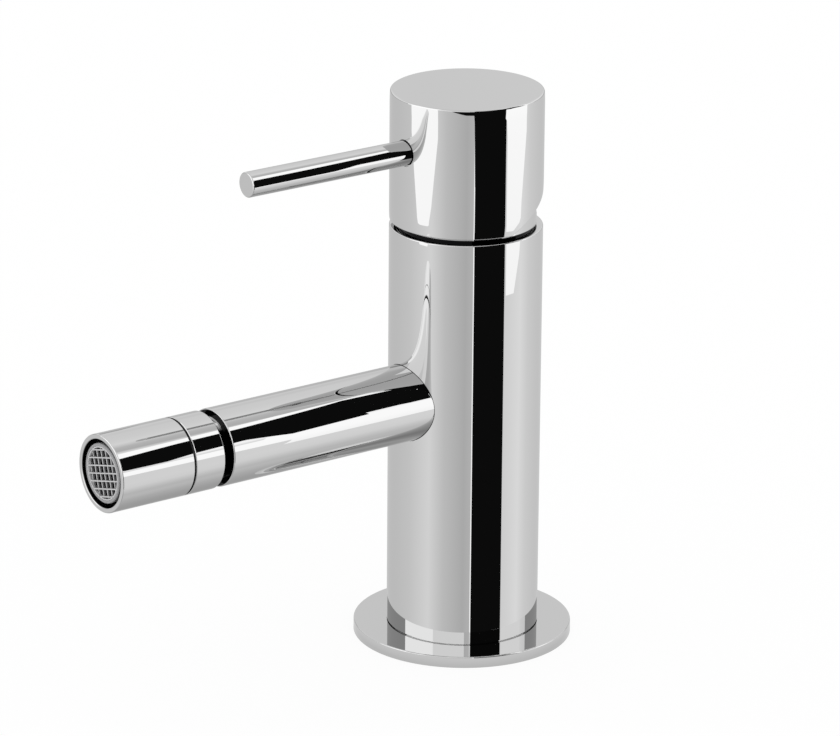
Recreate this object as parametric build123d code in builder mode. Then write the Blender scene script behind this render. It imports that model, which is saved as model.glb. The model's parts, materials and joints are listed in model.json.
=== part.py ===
from build123d import *
from math import acos, asin, cos, degrees, radians, sin, sqrt, tan
import os

os.makedirs("parts", exist_ok=True)

# A single-lever bidet mixer: an upright round column on a flange, a straight round spout with a
# swivelling aerator, and a round cap on top that a slim lever pin turns and lifts.
# The origin is the centre of the flange's underside. Up is +Z and the spout points along -Y.

# Main sizes, in millimetres
body_radius = 20.0
body_top = 112.7
flange_radius = 28.8
flange_thickness = 3.0
spout_height = 67.3
spout_radius = 10.15
spout_end = 79.8
swivel_gap = 2.7
ring_length = 8.6
sleeve_length = 22.2
handle_gap = 1.5
handle_height = 34.6
lever_rise = 20.8
lever_radius = 3.28
lever_reach = 69.0
lift_angle = 25.0
relief_angle = 27.0

# Clearances shared by many pieces
running_clearance = 0.05
seat_clearance = 0.05
cut_overrun = 1.0
seam_chamfer = 0.2
edge_round = 0.3

# Body, turned from bar and drilled
spigot_step = 3.5
spigot_radius = body_radius - spigot_step
cartridge_radius = 12.5
cartridge_depth = 24.7
nut_thread_radius = 14.0
nut_seat_depth = 7.7
cover_neck_step = 2.35
cover_neck_radius = body_radius - cover_neck_step
cover_recess_depth = 2.0
inlet_spacing = 14.0
inlet_offset = 3.5
inlet_bore_radius = 4.46
inlet_thread_depth = 12.0
stud_offset = 10.0
stud_bore_radius = 3.32
stud_thread_depth = 12.0
hole_lead_in = 0.5
waterway_radius = 3.0

# Flange and its seals
flange_round = 0.5
seal_from_spigot = 2.5
seal_from_rim = 2.8
base_seal_inner = spigot_radius + seal_from_spigot
base_seal_outer = flange_radius - seal_from_rim
base_seal_thickness = 1.8
flange_cord_radius = 0.7

# Spout tube and its root in the body
socket_depth = 4.0
root_step = 1.65
root_radius = spout_radius - root_step
root_length = 6.5
spout_bore_wall = 4.15
spout_bore_radius = spout_radius - spout_bore_wall
spout_gap = 0.12
spout_cord_radius = 0.6

# Ball stem
ball_step = 1.55
ball_radius = spout_radius - ball_step
ball_face_radius = 4.3
ball_bore_radius = 3.4
ball_behind_ring = 2.2
neck_step = 1.15
neck_radius = ball_radius - neck_step
collar_step = 1.85
collar_radius = spout_radius - collar_step
collar_stand = 0.25
collar_length = 1.45
stem_thread_step = 0.8
stem_thread_radius = collar_radius - stem_thread_step
stem_thread_length = 6.5
stem_cord_radius = 0.5
key_flats = 5.0
key_depth = 4.0

# Ball seal and friction ring, both parts of spherical shells around the ball
shell_thickness = 0.45
shell_front_angle = 40.0
shell_rear_angle = 58.0
pocket_angle_margin = 2.5

# Swivel ring and aerator sleeve
ring_wall = 0.85
ring_thread_radius = spout_radius - ring_wall
ring_thread_length = 2.8
throat_step = 0.47
sleeve_web_end = 14.3
mouth_wall = 1.3
mouth_radius = spout_radius - mouth_wall
sleeve_thread_step = 0.65
sleeve_thread_radius = mouth_radius - sleeve_thread_step
sleeve_thread_length = 9.0

# Aerator insert
gasket_thickness = 1.2
gasket_inner_step = 0.1
insert_recess = 0.4
frame_step = 0.55
frame_radius = sleeve_thread_radius - frame_step
frame_width = 1.0
grid_radius = frame_radius - frame_width
grid_depth = 1.5
grid_rim = 0.35
grid_pitch = 1.95
front_bar_width = 0.32
rear_bar_width = 0.5
bar_thickness = 0.6
grid_turn = 15.5
cage_bore_step = 0.55
cage_bore_radius = grid_radius - cage_bore_step
cage_rear_step = 0.75
cage_rear_radius = frame_radius - cage_rear_step
cage_rear_depth = 1.8
cage_thread_length = 7.3
flow_disc_thickness = 1.2
flow_hole_radius = 0.5
flow_inner_circle = 2.2
flow_inner_holes = 6
flow_outer_circle = 4.2
flow_outer_holes = 12
strainer_rim = 0.5
strainer_rim_width = 2.1
strainer_radius = cage_rear_radius - strainer_rim_width
strainer_rise = 4.0
strainer_wall = 0.5
strainer_slot = 0.5
strainer_slots = 8

# Cartridge cover, a dome around the point that the handle tilts on
pivot_above_body = 0.2
cover_base_step = 1.7
cover_dome_step = 1.5
cover_base_radius = body_radius - cover_base_step
cover_dome_radius = body_radius - cover_dome_step
cover_lip_gap = 0.65
cover_top_above_pivot = 6.6
cover_wall = 1.3
cover_opening = 11.5
cover_cord_radius = 0.5
cover_top_round = 0.6

# Cartridge nut
nut_bore_clearance = 0.05
nut_corner_gap = 0.8
nut_head_height = 3.6

# Cartridge
housing_wall = 1.25
housing_neck_step = 2.6
housing_neck_radius = cartridge_radius - housing_neck_step
housing_neck_height = 12.5
housing_ceiling = 1.4
base_flange_height = 1.4
base_height = 3.6
peg_radius = 1.3
peg_length = 3.0
peg_from_rim = 2.45
peg_angle = 31.0
disc_gap = 0.5
fixed_disc_thickness = 3.45
fixed_disc_gap = 0.65
moving_disc_thickness = 3.0
moving_disc_gap = 2.85
moving_disc_offset = 2.1
mixing_recess_depth = 1.8
mixing_recess_half_width = 5.6
mixing_recess_half_length = 4.2
mixing_recess_offset = 1.9
disc_inlet_x = 4.4
disc_inlet_y = 3.0
disc_inlet_radius = 1.7
port_x = 6.4
port_y = 3.2
port_radius = 2.2
outlet_y = 5.0
outlet_radius = 2.4
port_seal_wall = 0.7
port_seal_height = 1.0
disc_seal_depth = 0.7

# Rotor, stem and disc carrier
stem_arm = 11.0
carrier_plate = 2.3
carrier_peg_radius = 0.8
carrier_peg_length = 1.2
carrier_peg_x = 5.5
carrier_peg_y = 4.0
block_half_width = 4.2
block_half_length = 3.4
block_above_ball = 1.3
rail_inner = 6.0
rail_outer = 7.6
rail_half_length = 3.5
rail_top_above_ball = 0.8
rotor_below_ball = 0.5
rotor_flange_clearance = 0.15
housing_neck_wall = 1.7
rotor_column_radius = housing_neck_radius - housing_neck_wall
rotor_above_housing = 0.8
stop_half_angle = 8.0
stop_depth = 1.4
stop_wall = 0.3
stop_clearance = 0.2
turn_angle = 50.0
turn_spare = 1.5
window_clearance = 0.2
rail_clearance = 0.05
groove_clearance = 0.1
pin_radius = 1.5
pin_end_gap = 0.2
stem_width = 7.0
stem_hub_radius = 4.0
stem_rod_radius = 1.8
stem_ball_radius = 2.3
stem_ball_clearance = 0.15
stem_top_above_pivot = 24.6
stem_chamfer = 0.5

# Handle cap, adapter, grub screw and lever pin
cap_wall = 1.2
cap_top_wall = 4.5
cap_top_round = 0.5
boss_radius = 8.0
boss_bottom_rise = 11.8
lever_boss_radius = 6.0
adapter_radius = 6.0
adapter_end_gap = 0.3
socket_top_rise = 24.3
lever_socket_depth = 1.4
lever_thread_radius = 2.5
lever_thread_length = 7.1
lever_tip_chamfer = 0.35
lever_gap = 0.15
grub_gap = 0.2
grub_hex_size = 2.5
grub_hex_depth = 2.5

# Levels and stations worked out from the sizes above
handle_bottom = body_top + handle_gap
handle_top = handle_bottom + handle_height
lever_height = handle_bottom + lever_rise
pivot_height = body_top + pivot_above_body
cover_floor = body_top - cover_recess_depth
nut_floor = body_top - nut_seat_depth
cartridge_floor = body_top - cartridge_depth
socket_floor = body_radius - socket_depth
root_end = socket_floor - root_length
ball_reach = spout_end + swivel_gap + ball_behind_ring
tube_from_ball = swivel_gap + ball_behind_ring
seam_from_ball = ring_length - ball_behind_ring
mouth_from_ball = seam_from_ball + sleeve_length
base_top = cartridge_floor + base_height
housing_bottom = cartridge_floor + base_flange_height
fixed_disc_bottom = base_top + disc_gap
moving_disc_bottom = fixed_disc_bottom + fixed_disc_thickness + running_clearance
carrier_bottom = moving_disc_bottom + moving_disc_thickness
stem_ball_height = pivot_height - stem_arm
cavity_radius = cartridge_radius - housing_wall
fixed_disc_radius = cavity_radius - fixed_disc_gap
moving_disc_radius = cavity_radius - moving_disc_gap
peg_x = (cartridge_radius - peg_from_rim) * cos(radians(peg_angle))
peg_y = (cartridge_radius - peg_from_rim) * sin(radians(peg_angle))
cavity_top = nut_floor - housing_ceiling
housing_top = nut_floor + housing_neck_height
rotor_bottom = stem_ball_height - rotor_below_ball
rotor_flange_top = cavity_top - running_clearance
rotor_top = housing_top + rotor_above_housing
disc_travel = stem_arm * sin(radians(lift_angle))

spout_axis = Axis((0, 0, spout_height), (0, -1, 0))
ball_plane = Plane(origin=(0, -ball_reach, spout_height), x_dir=(0, -1, 0), z_dir=(-1, 0, 0))


def facing_front(reach, height):
    """A plane across the spout's direction, looking forward, at this distance from the column's axis."""
    return Plane(origin=(0, -reach, height), x_dir=(1, 0, 0), z_dir=(0, -1, 0))


def facing_side(half, depth, height):
    """A plane across X, looking to +X, that starts at -half."""
    return Plane(origin=(-half, depth, height), x_dir=(0, 1, 0), z_dir=(1, 0, 0))


def save(builder, label):
    """Labels a finished piece and writes it."""
    builder.part.label = label
    export_step(builder.part, f"parts/{label}.step")


def round_cord(plane, axis, centre, cord_radius):
    """A ring of round section, turned around an axis from a circle drawn in a plane that holds it."""
    with BuildPart() as ring:
        with BuildSketch(plane):
            with Locations(centre):
                Circle(cord_radius)
        revolve(axis=axis)
    return ring


def sector(radius, half_angle):
    """A pie slice around the centre, as far to each side of the X axis as the half angle."""
    with BuildSketch() as pie:
        with BuildLine():
            rim = CenterArc((0, 0), radius, -half_angle, half_angle * 2)
            Line((0, 0), rim @ 0)
            Line((0, 0), rim @ 1)
        make_face()
    return pie.sketch


def shell_of_ball(inner, outer):
    """A ring cut from a spherical shell around the ball, between two angles from the spout's axis."""
    sweep_angle = shell_rear_angle - shell_front_angle
    with BuildPart() as shell:
        with BuildSketch(ball_plane):
            with BuildLine():
                near = CenterArc((0, 0), inner, shell_front_angle, sweep_angle)
                far = CenterArc((0, 0), outer, shell_front_angle, sweep_angle)
                Line(near @ 0, far @ 0)
                Line(near @ 1, far @ 1)
            make_face()
        revolve(axis=spout_axis)
    return shell


# Body
socket_radius = spout_radius + spout_gap
with BuildPart() as body:
    with BuildSketch(Plane.XZ):
        with BuildLine():
            Polyline(
                (0, 0),
                (spigot_radius, 0),
                (spigot_radius, flange_thickness),
                (body_radius, flange_thickness),
                (body_radius, body_top),
                (cover_neck_radius + seat_clearance, body_top),
                (cover_neck_radius + seat_clearance, cover_floor),
                (nut_thread_radius, cover_floor),
                (nut_thread_radius, nut_floor),
                (cartridge_radius, nut_floor),
                (cartridge_radius, cartridge_floor),
                (0, cartridge_floor),
                close=True,
            )
        make_face()
    revolve(axis=Axis.Z)
    outer_rims = body.edges().filter_by(GeomType.CIRCLE).group_by(SortBy.RADIUS)[-1]
    chamfer(outer_rims.sort_by(Axis.Z)[0], seam_chamfer)
    fillet(outer_rims.sort_by(Axis.Z)[-1], edge_round)
    groove_half = flange_cord_radius + seat_clearance
    groove_floor = spigot_radius - groove_half * 2
    with BuildSketch(Plane.XZ):
        with Locations(((spigot_radius + groove_floor) / 2, flange_thickness / 2)):
            Rectangle(spigot_radius - groove_floor, groove_half * 2)
    revolve(axis=Axis.Z, mode=Mode.SUBTRACT)
    with BuildSketch(facing_front(socket_floor, spout_height)):
        Circle(socket_radius)
    extrude(amount=socket_depth + cut_overrun, mode=Mode.SUBTRACT)
    with BuildSketch(facing_front(root_end, spout_height)):
        Circle(root_radius)
    extrude(amount=root_length, mode=Mode.SUBTRACT)
    with BuildSketch(facing_front(-outlet_y, spout_height)):
        Circle(waterway_radius)
    extrude(amount=outlet_y + root_end, mode=Mode.SUBTRACT)
    with BuildSketch(Plane.XY.offset(cartridge_floor)):
        with Locations((0, outlet_y)):
            Circle(outlet_radius)
    extrude(amount=spout_height - cartridge_floor, mode=Mode.SUBTRACT)
    with BuildSketch(Plane.XY.offset(cartridge_floor)):
        with Locations((-port_x, -port_y), (port_x, -port_y)):
            Circle(port_radius)
    extrude(amount=inlet_thread_depth - cartridge_floor, mode=Mode.SUBTRACT)
    with BuildSketch(Plane.XY):
        with Locations((-inlet_spacing / 2, -inlet_offset), (inlet_spacing / 2, -inlet_offset)):
            Circle(inlet_bore_radius)
    extrude(amount=inlet_thread_depth, mode=Mode.SUBTRACT)
    with BuildSketch(Plane.XY):
        with Locations((0, stud_offset)):
            Circle(stud_bore_radius)
    extrude(amount=stud_thread_depth, mode=Mode.SUBTRACT)
    with BuildSketch(Plane.XY.offset(cartridge_floor)):
        with Locations((-peg_x, peg_y), (peg_x, peg_y)):
            Circle(peg_radius + seat_clearance)
    extrude(amount=-peg_length - seat_clearance, mode=Mode.SUBTRACT)
    bottom_rims = body.faces().sort_by(Axis.Z)[0].inner_wires()
    chamfer(bottom_rims.edges(), hole_lead_in)
save(body, "body")

# Base flange with a groove for its seal
with BuildPart() as base_flange:
    with BuildSketch():
        Circle(flange_radius)
        Circle(spigot_radius + seat_clearance, mode=Mode.SUBTRACT)
    extrude(amount=flange_thickness)
    fillet(base_flange.faces().sort_by(Axis.Z)[-1].outer_wire().edges(), flange_round)
    with BuildSketch():
        Circle(base_seal_outer + seat_clearance)
        Circle(base_seal_inner - seat_clearance, mode=Mode.SUBTRACT)
    extrude(amount=base_seal_thickness, mode=Mode.SUBTRACT)
save(base_flange, "base_flange")

with BuildPart() as base_seal:
    with BuildSketch():
        Circle(base_seal_outer)
        Circle(base_seal_inner, mode=Mode.SUBTRACT)
    extrude(amount=base_seal_thickness)
save(base_seal, "base_seal")

flange_o_ring = round_cord(
    Plane.XZ, Axis.Z, (spigot_radius - flange_cord_radius, flange_thickness / 2), flange_cord_radius
)
save(flange_o_ring, "flange_o_ring")

# Spout tube, screwed into the body's socket
tail_bore = stem_thread_radius + seat_clearance
with BuildPart() as spout_tube:
    with BuildSketch(facing_front(root_end + seat_clearance, spout_height)):
        Circle(root_radius - seat_clearance)
    extrude(amount=root_length)
    with BuildSketch(facing_front(socket_floor + seat_clearance, spout_height)):
        Circle(spout_radius)
    extrude(amount=spout_end - socket_floor - seat_clearance)
    front_rim = spout_tube.faces().sort_by(Axis.Y)[0].outer_wire().edges()
    fillet(front_rim, edge_round)
    with BuildSketch(facing_front(root_end, spout_height)):
        Circle(spout_bore_radius)
    extrude(amount=spout_end, mode=Mode.SUBTRACT)
    with BuildSketch(facing_front(spout_end, spout_height)):
        Circle(tail_bore)
    extrude(amount=-collar_length - stem_thread_length, mode=Mode.SUBTRACT)
    with BuildSketch(facing_front(spout_end, spout_height)):
        Circle(collar_radius + seat_clearance)
    extrude(amount=collar_stand - collar_length - seat_clearance, mode=Mode.SUBTRACT)
    root_cord_reach = root_end + root_length - spout_cord_radius * 3
    with BuildSketch(facing_front(root_cord_reach, spout_height)):
        Circle(root_radius + cut_overrun)
        Circle(root_radius - spout_cord_radius * 2 - seat_clearance * 2, mode=Mode.SUBTRACT)
    extrude(amount=spout_cord_radius + seat_clearance, both=True, mode=Mode.SUBTRACT)
save(spout_tube, "spout_tube")

spout_o_ring = round_cord(
    ball_plane,
    spout_axis,
    (root_cord_reach - ball_reach, root_radius - seat_clearance - spout_cord_radius),
    spout_cord_radius,
)
save(spout_o_ring, "spout_o_ring")

# Ball stem, screwed into the spout's end
neck_station = sqrt(ball_radius**2 - neck_radius**2)
face_station = sqrt(ball_radius**2 - ball_face_radius**2)
collar_front = tube_from_ball - collar_stand
collar_rear = collar_front + collar_length
stem_rear = collar_rear + stem_thread_length - cut_overrun
stem_cord_station = collar_rear + stem_cord_radius + seat_clearance
with BuildPart() as ball_stem:
    with BuildSketch(ball_plane):
        with BuildLine():
            Polyline(
                (-neck_station, neck_radius),
                (-collar_front, neck_radius),
                (-collar_front, collar_radius),
                (-collar_rear, collar_radius),
                (-collar_rear, stem_thread_radius),
                (-stem_rear, stem_thread_radius),
                (-stem_rear, ball_bore_radius),
                (face_station, ball_bore_radius),
                (face_station, ball_face_radius),
            )
            ThreePointArc(
                (-neck_station, neck_radius), (0, ball_radius), (face_station, ball_face_radius)
            )
        make_face()
    revolve(axis=spout_axis)
    with BuildSketch(ball_plane):
        with Locations((-stem_cord_station, stem_thread_radius - stem_cord_radius)):
            Rectangle(
                (stem_cord_radius + seat_clearance) * 2, (stem_cord_radius + seat_clearance) * 2
            )
    revolve(axis=spout_axis, mode=Mode.SUBTRACT)
    with BuildSketch(facing_front(ball_reach + face_station, spout_height)):
        RegularPolygon(key_flats, 6, major_radius=False)
    extrude(amount=-key_depth, mode=Mode.SUBTRACT)
save(ball_stem, "ball_stem")

ball_stem_o_ring = round_cord(
    ball_plane, spout_axis, (-stem_cord_station, stem_thread_radius - stem_cord_radius), stem_cord_radius
)
save(ball_stem_o_ring, "ball_stem_o_ring")

# Ball seal, friction ring and the parts that they sit in
seal_inner = ball_radius + running_clearance
seal_outer = seal_inner + shell_thickness
friction_inner = seal_outer + running_clearance
friction_outer = friction_inner + shell_thickness
pocket_sphere = friction_outer + running_clearance

ball_seal = shell_of_ball(seal_inner, seal_outer)
save(ball_seal, "ball_seal")

friction_ring = shell_of_ball(friction_inner, friction_outer)
save(friction_ring, "friction_ring")

ring_bore = ball_radius + running_clearance
lip_radius = sqrt(ring_bore**2 - ball_behind_ring**2)
thread_start = seam_from_ball - ring_thread_length
with BuildPart() as swivel_ring:
    with BuildSketch(ball_plane):
        with BuildLine():
            Polyline(
                (-ball_behind_ring, lip_radius),
                (-ball_behind_ring, spout_radius),
                (seam_from_ball, spout_radius),
                (seam_from_ball, ring_thread_radius + seat_clearance),
                (thread_start, ring_thread_radius + seat_clearance),
                (thread_start, ring_bore),
                (0, ring_bore),
            )
            RadiusArc((-ball_behind_ring, lip_radius), (0, ring_bore), ring_bore)
        make_face()
    revolve(axis=spout_axis)
    fillet(swivel_ring.faces().sort_by(Axis.Y)[-1].outer_wire().edges(), edge_round)
    chamfer(swivel_ring.faces().sort_by(Axis.Y)[0].outer_wire().edges(), seam_chamfer)
save(swivel_ring, "swivel_ring")

# Aerator sleeve
pocket_rear = shell_rear_angle + pocket_angle_margin
pocket_front = shell_front_angle - pocket_angle_margin
spigot_start = thread_start + seat_clearance * 2
spigot_inner = pocket_sphere * sin(radians(pocket_rear))
sleeve_throat_radius = pocket_sphere * sin(radians(pocket_front)) - throat_step
gasket_inner = sleeve_throat_radius - gasket_inner_step
mouth_bore_start = sleeve_web_end + sleeve_thread_length
with BuildPart() as aerator_sleeve:
    with BuildSketch(ball_plane):
        with BuildLine():
            pocket = CenterArc((0, 0), pocket_sphere, pocket_front, pocket_rear - pocket_front)
            Polyline(
                pocket @ 1,
                (spigot_start, spigot_inner),
                (spigot_start, ring_thread_radius),
                (seam_from_ball, ring_thread_radius),
                (seam_from_ball, spout_radius),
                (mouth_from_ball, spout_radius),
                (mouth_from_ball, mouth_radius),
                (mouth_bore_start, mouth_radius),
                (mouth_bore_start, sleeve_thread_radius),
                (sleeve_web_end, sleeve_thread_radius),
                (sleeve_web_end, sleeve_throat_radius),
                (pocket_sphere * cos(radians(pocket_front)), sleeve_throat_radius),
                pocket @ 0,
            )
        make_face()
    revolve(axis=spout_axis)
    front_face = aerator_sleeve.faces().sort_by(Axis.Y)[0]
    fillet(front_face.edges(), edge_round)
    outer_rims = aerator_sleeve.edges().filter_by(GeomType.CIRCLE).group_by(SortBy.RADIUS)[-1]
    chamfer(outer_rims.sort_by(Axis.Y)[-1], seam_chamfer)
save(aerator_sleeve, "aerator_sleeve")

# Aerator insert: gasket, cage, grid, flow disc and strainer
gasket_reach = ball_reach + sleeve_web_end
cage_rear = sleeve_web_end + gasket_thickness
cage_front = mouth_from_ball - insert_recess
with BuildPart() as aerator_gasket:
    with BuildSketch(facing_front(gasket_reach, spout_height)):
        Circle(sleeve_thread_radius - seat_clearance)
        Circle(gasket_inner, mode=Mode.SUBTRACT)
    extrude(amount=gasket_thickness)
save(aerator_gasket, "aerator_gasket")

cage_thread = sleeve_thread_radius - seat_clearance
with BuildPart() as aerator_cage:
    with BuildSketch(ball_plane):
        with BuildLine():
            Polyline(
                (cage_rear, cage_rear_radius),
                (cage_rear, cage_thread),
                (cage_rear + cage_thread_length, cage_thread),
                (cage_rear + cage_thread_length, frame_radius),
                (cage_front, frame_radius),
                (cage_front, grid_radius),
                (cage_front - grid_depth, grid_radius),
                (cage_front - grid_depth, cage_bore_radius),
                (cage_rear + cage_rear_depth, cage_bore_radius),
                (cage_rear + cage_rear_depth, cage_rear_radius),
                close=True,
            )
        make_face()
    revolve(axis=spout_axis)
    chamfer(aerator_cage.faces().sort_by(Axis.Y)[0].outer_wire().edges(), seam_chamfer)
save(aerator_cage, "aerator_cage")

grid_outer = grid_radius - seat_clearance
grid_front = ball_reach + cage_front
bar_count = int(grid_outer / grid_pitch)
grid_layers = ((front_bar_width, grid_turn + 90), (rear_bar_width, grid_turn))
with BuildPart() as aerator_grid:
    for layer, (bar_width, bar_turn) in enumerate(grid_layers):
        layer_plane = facing_front(grid_front - bar_thickness * layer, spout_height)
        with BuildSketch(layer_plane):
            with Locations(Rotation(0, 0, bar_turn)):
                with GridLocations(grid_pitch, 0, bar_count * 2 + 1, 1):
                    Rectangle(bar_width, grid_outer * 2)
            Circle(grid_outer, mode=Mode.INTERSECT)
        extrude(amount=-bar_thickness)
        with BuildSketch(layer_plane):
            Circle(grid_outer)
            Circle(grid_outer - grid_rim, mode=Mode.SUBTRACT)
        extrude(amount=-bar_thickness)
save(aerator_grid, "aerator_grid")

flow_disc_rear = ball_reach + cage_rear + cage_rear_depth - flow_disc_thickness
with BuildPart() as flow_disc:
    with BuildSketch(facing_front(flow_disc_rear, spout_height)):
        Circle(cage_rear_radius - seat_clearance)
        with PolarLocations(flow_inner_circle, flow_inner_holes):
            Circle(flow_hole_radius, mode=Mode.SUBTRACT)
        with PolarLocations(flow_outer_circle, flow_outer_holes):
            Circle(flow_hole_radius, mode=Mode.SUBTRACT)
    extrude(amount=flow_disc_thickness)
save(flow_disc, "flow_disc")

# The strainer is a domed shell on a flat rim, with slots that run up towards its crown
dome_sphere = (strainer_radius**2 + strainer_rise**2) / (strainer_rise * 2)
dome_inner = strainer_radius - strainer_wall
inner_rise = strainer_rise - strainer_wall
with BuildPart() as strainer:
    with BuildSketch(ball_plane):
        with BuildLine():
            Polyline(
                (cage_rear, strainer_radius),
                (cage_rear, cage_rear_radius - seat_clearance),
                (cage_rear + strainer_rim, cage_rear_radius - seat_clearance),
                (cage_rear + strainer_rim, dome_inner),
                (cage_rear, dome_inner),
            )
            RadiusArc((cage_rear, strainer_radius), (cage_rear - strainer_rise, 0), -dome_sphere)
            Line((cage_rear - strainer_rise, 0), (cage_rear - inner_rise, 0))
            inner_sphere = (dome_inner**2 + inner_rise**2) / (inner_rise * 2)
            RadiusArc((cage_rear - inner_rise, 0), (cage_rear, dome_inner), inner_sphere)
        make_face()
    revolve(axis=spout_axis)
    with BuildSketch(facing_front(ball_reach + cage_rear, spout_height)):
        with PolarLocations(strainer_radius / 2, strainer_slots):
            Rectangle(strainer_radius / 2, strainer_slot)
    extrude(amount=-strainer_rise * 2, mode=Mode.SUBTRACT)
save(strainer, "strainer")

# Cartridge cover
lip_bottom = body_top + cover_lip_gap
dome_top = pivot_height + cover_top_above_pivot
inner_neck = cover_neck_radius - cover_wall
dome_from = degrees(acos(cover_base_radius / cover_dome_radius))
dome_to = degrees(asin(cover_top_above_pivot / cover_dome_radius))
with BuildPart() as cartridge_cover:
    with BuildSketch(Plane.XZ) as cover_section:
        with BuildLine():
            skin = CenterArc((0, pivot_height), cover_dome_radius, dome_from, dome_to - dome_from)
            Polyline(
                skin @ 0,
                (cover_base_radius, lip_bottom),
                (cover_neck_radius, lip_bottom),
                (cover_neck_radius, cover_floor),
                (inner_neck, cover_floor),
                (inner_neck, dome_top - cover_wall),
                (cover_opening, dome_top - cover_wall),
                (cover_opening, dome_top),
                skin @ 1,
            )
        make_face()
        top_corners = cover_section.vertices().group_by(Axis.Y)[-1]
        fillet(top_corners.sort_by(Axis.X)[-1], cover_top_round)
    revolve(axis=Axis.Z)
    cover_cord_centre = (cover_neck_radius - cover_cord_radius, (cover_floor + body_top) / 2)
    with BuildSketch(Plane.XZ):
        with Locations(cover_cord_centre):
            Rectangle(
                (cover_cord_radius + seat_clearance) * 2, (cover_cord_radius + seat_clearance) * 2
            )
    revolve(axis=Axis.Z, mode=Mode.SUBTRACT)
save(cartridge_cover, "cartridge_cover")

cover_o_ring = round_cord(Plane.XZ, Axis.Z, cover_cord_centre, cover_cord_radius)
save(cover_o_ring, "cover_o_ring")

# Cartridge nut: a threaded ring with a hexagon head
with BuildPart() as cartridge_nut:
    with BuildSketch(Plane.XY.offset(nut_floor)):
        Circle(nut_thread_radius - seat_clearance)
    extrude(amount=cover_floor - nut_floor)
    with BuildSketch(Plane.XY.offset(cover_floor)):
        RegularPolygon(inner_neck - nut_corner_gap, 6)
    extrude(amount=nut_head_height)
    with BuildSketch(Plane.XY.offset(nut_floor)):
        Circle(housing_neck_radius + nut_bore_clearance)
    extrude(amount=cover_floor - nut_floor + nut_head_height, mode=Mode.SUBTRACT)
save(cartridge_nut, "cartridge_nut")

# Cartridge housing
neck_bore = rotor_column_radius + running_clearance
stop_slot = sector(housing_neck_radius + cut_overrun, stop_half_angle + turn_angle + turn_spare)
with BuildPart() as cartridge_housing:
    with BuildSketch(Plane.XZ):
        Polygon(
            (cavity_radius, housing_bottom),
            (cartridge_radius - seat_clearance, housing_bottom),
            (cartridge_radius - seat_clearance, nut_floor),
            (housing_neck_radius, nut_floor),
            (housing_neck_radius, housing_top),
            (neck_bore, housing_top),
            (neck_bore, cavity_top),
            (cavity_radius, cavity_top),
            align=None,
        )
    revolve(axis=Axis.Z)
    with BuildSketch(Plane.XY.offset(housing_top)):
        add(stop_slot)
        Circle(neck_bore - cut_overrun, mode=Mode.SUBTRACT)
    extrude(amount=-stop_depth, mode=Mode.SUBTRACT)
save(cartridge_housing, "cartridge_housing")

# Cartridge base: a lower flange, a spigot in the housing, stepped ports, seal seats and two pegs
port_places = ((-port_x, -port_y), (port_x, -port_y), (0, outlet_y))
disc_places = ((-disc_inlet_x, -disc_inlet_y), (disc_inlet_x, -disc_inlet_y), (0, outlet_y))
port_radii = (port_radius, port_radius, outlet_radius)
disc_radii = (disc_inlet_radius, disc_inlet_radius, outlet_radius)
with BuildPart() as cartridge_base:
    with BuildSketch(Plane.XY.offset(cartridge_floor)):
        Circle(cartridge_radius - seat_clearance)
    extrude(amount=base_flange_height)
    with BuildSketch(Plane.XY.offset(housing_bottom)):
        Circle(cavity_radius - seat_clearance)
    extrude(amount=base_height - base_flange_height)
    for place, radius in zip(port_places, port_radii):
        with BuildSketch(Plane.XY.offset(cartridge_floor)):
            with Locations(place):
                Circle(radius)
        extrude(amount=base_height / 2, mode=Mode.SUBTRACT)
        with BuildSketch(Plane.XY.offset(cartridge_floor)):
            with Locations(place):
                Circle(radius + port_seal_wall + seat_clearance)
        extrude(amount=port_seal_height, mode=Mode.SUBTRACT)
    for place, radius in zip(disc_places, disc_radii):
        with BuildSketch(Plane.XY.offset(base_top)):
            with Locations(place):
                Circle(radius)
        extrude(amount=-base_height / 2 - seat_clearance, mode=Mode.SUBTRACT)
        with BuildSketch(Plane.XY.offset(base_top)):
            with Locations(place):
                Circle(radius + port_seal_wall + seat_clearance)
        extrude(amount=-disc_seal_depth, mode=Mode.SUBTRACT)
    with BuildSketch(Plane.XY.offset(cartridge_floor)):
        with Locations((-peg_x, peg_y), (peg_x, peg_y)):
            Circle(peg_radius)
    extrude(amount=-peg_length)
save(cartridge_base, "cartridge_base")

with BuildPart() as base_port_seals:
    for place, radius in zip(port_places, port_radii):
        with BuildSketch(Plane.XY.offset(cartridge_floor)):
            with Locations(place):
                Circle(radius + port_seal_wall)
                Circle(radius, mode=Mode.SUBTRACT)
        extrude(amount=port_seal_height)
save(base_port_seals, "base_port_seals")

with BuildPart() as disc_seals:
    for place, radius in zip(disc_places, disc_radii):
        with BuildSketch(Plane.XY.offset(base_top - disc_seal_depth)):
            with Locations(place):
                Circle(radius + port_seal_wall)
                Circle(radius, mode=Mode.SUBTRACT)
        extrude(amount=disc_seal_depth + disc_gap)
save(disc_seals, "disc_seals")

# Ceramic discs
with BuildPart() as fixed_disc:
    with BuildSketch(Plane.XY.offset(fixed_disc_bottom)):
        Circle(fixed_disc_radius)
        for place, radius in zip(disc_places, disc_radii):
            with Locations(place):
                Circle(radius, mode=Mode.SUBTRACT)
    extrude(amount=fixed_disc_thickness)
save(fixed_disc, "fixed_disc")

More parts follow.
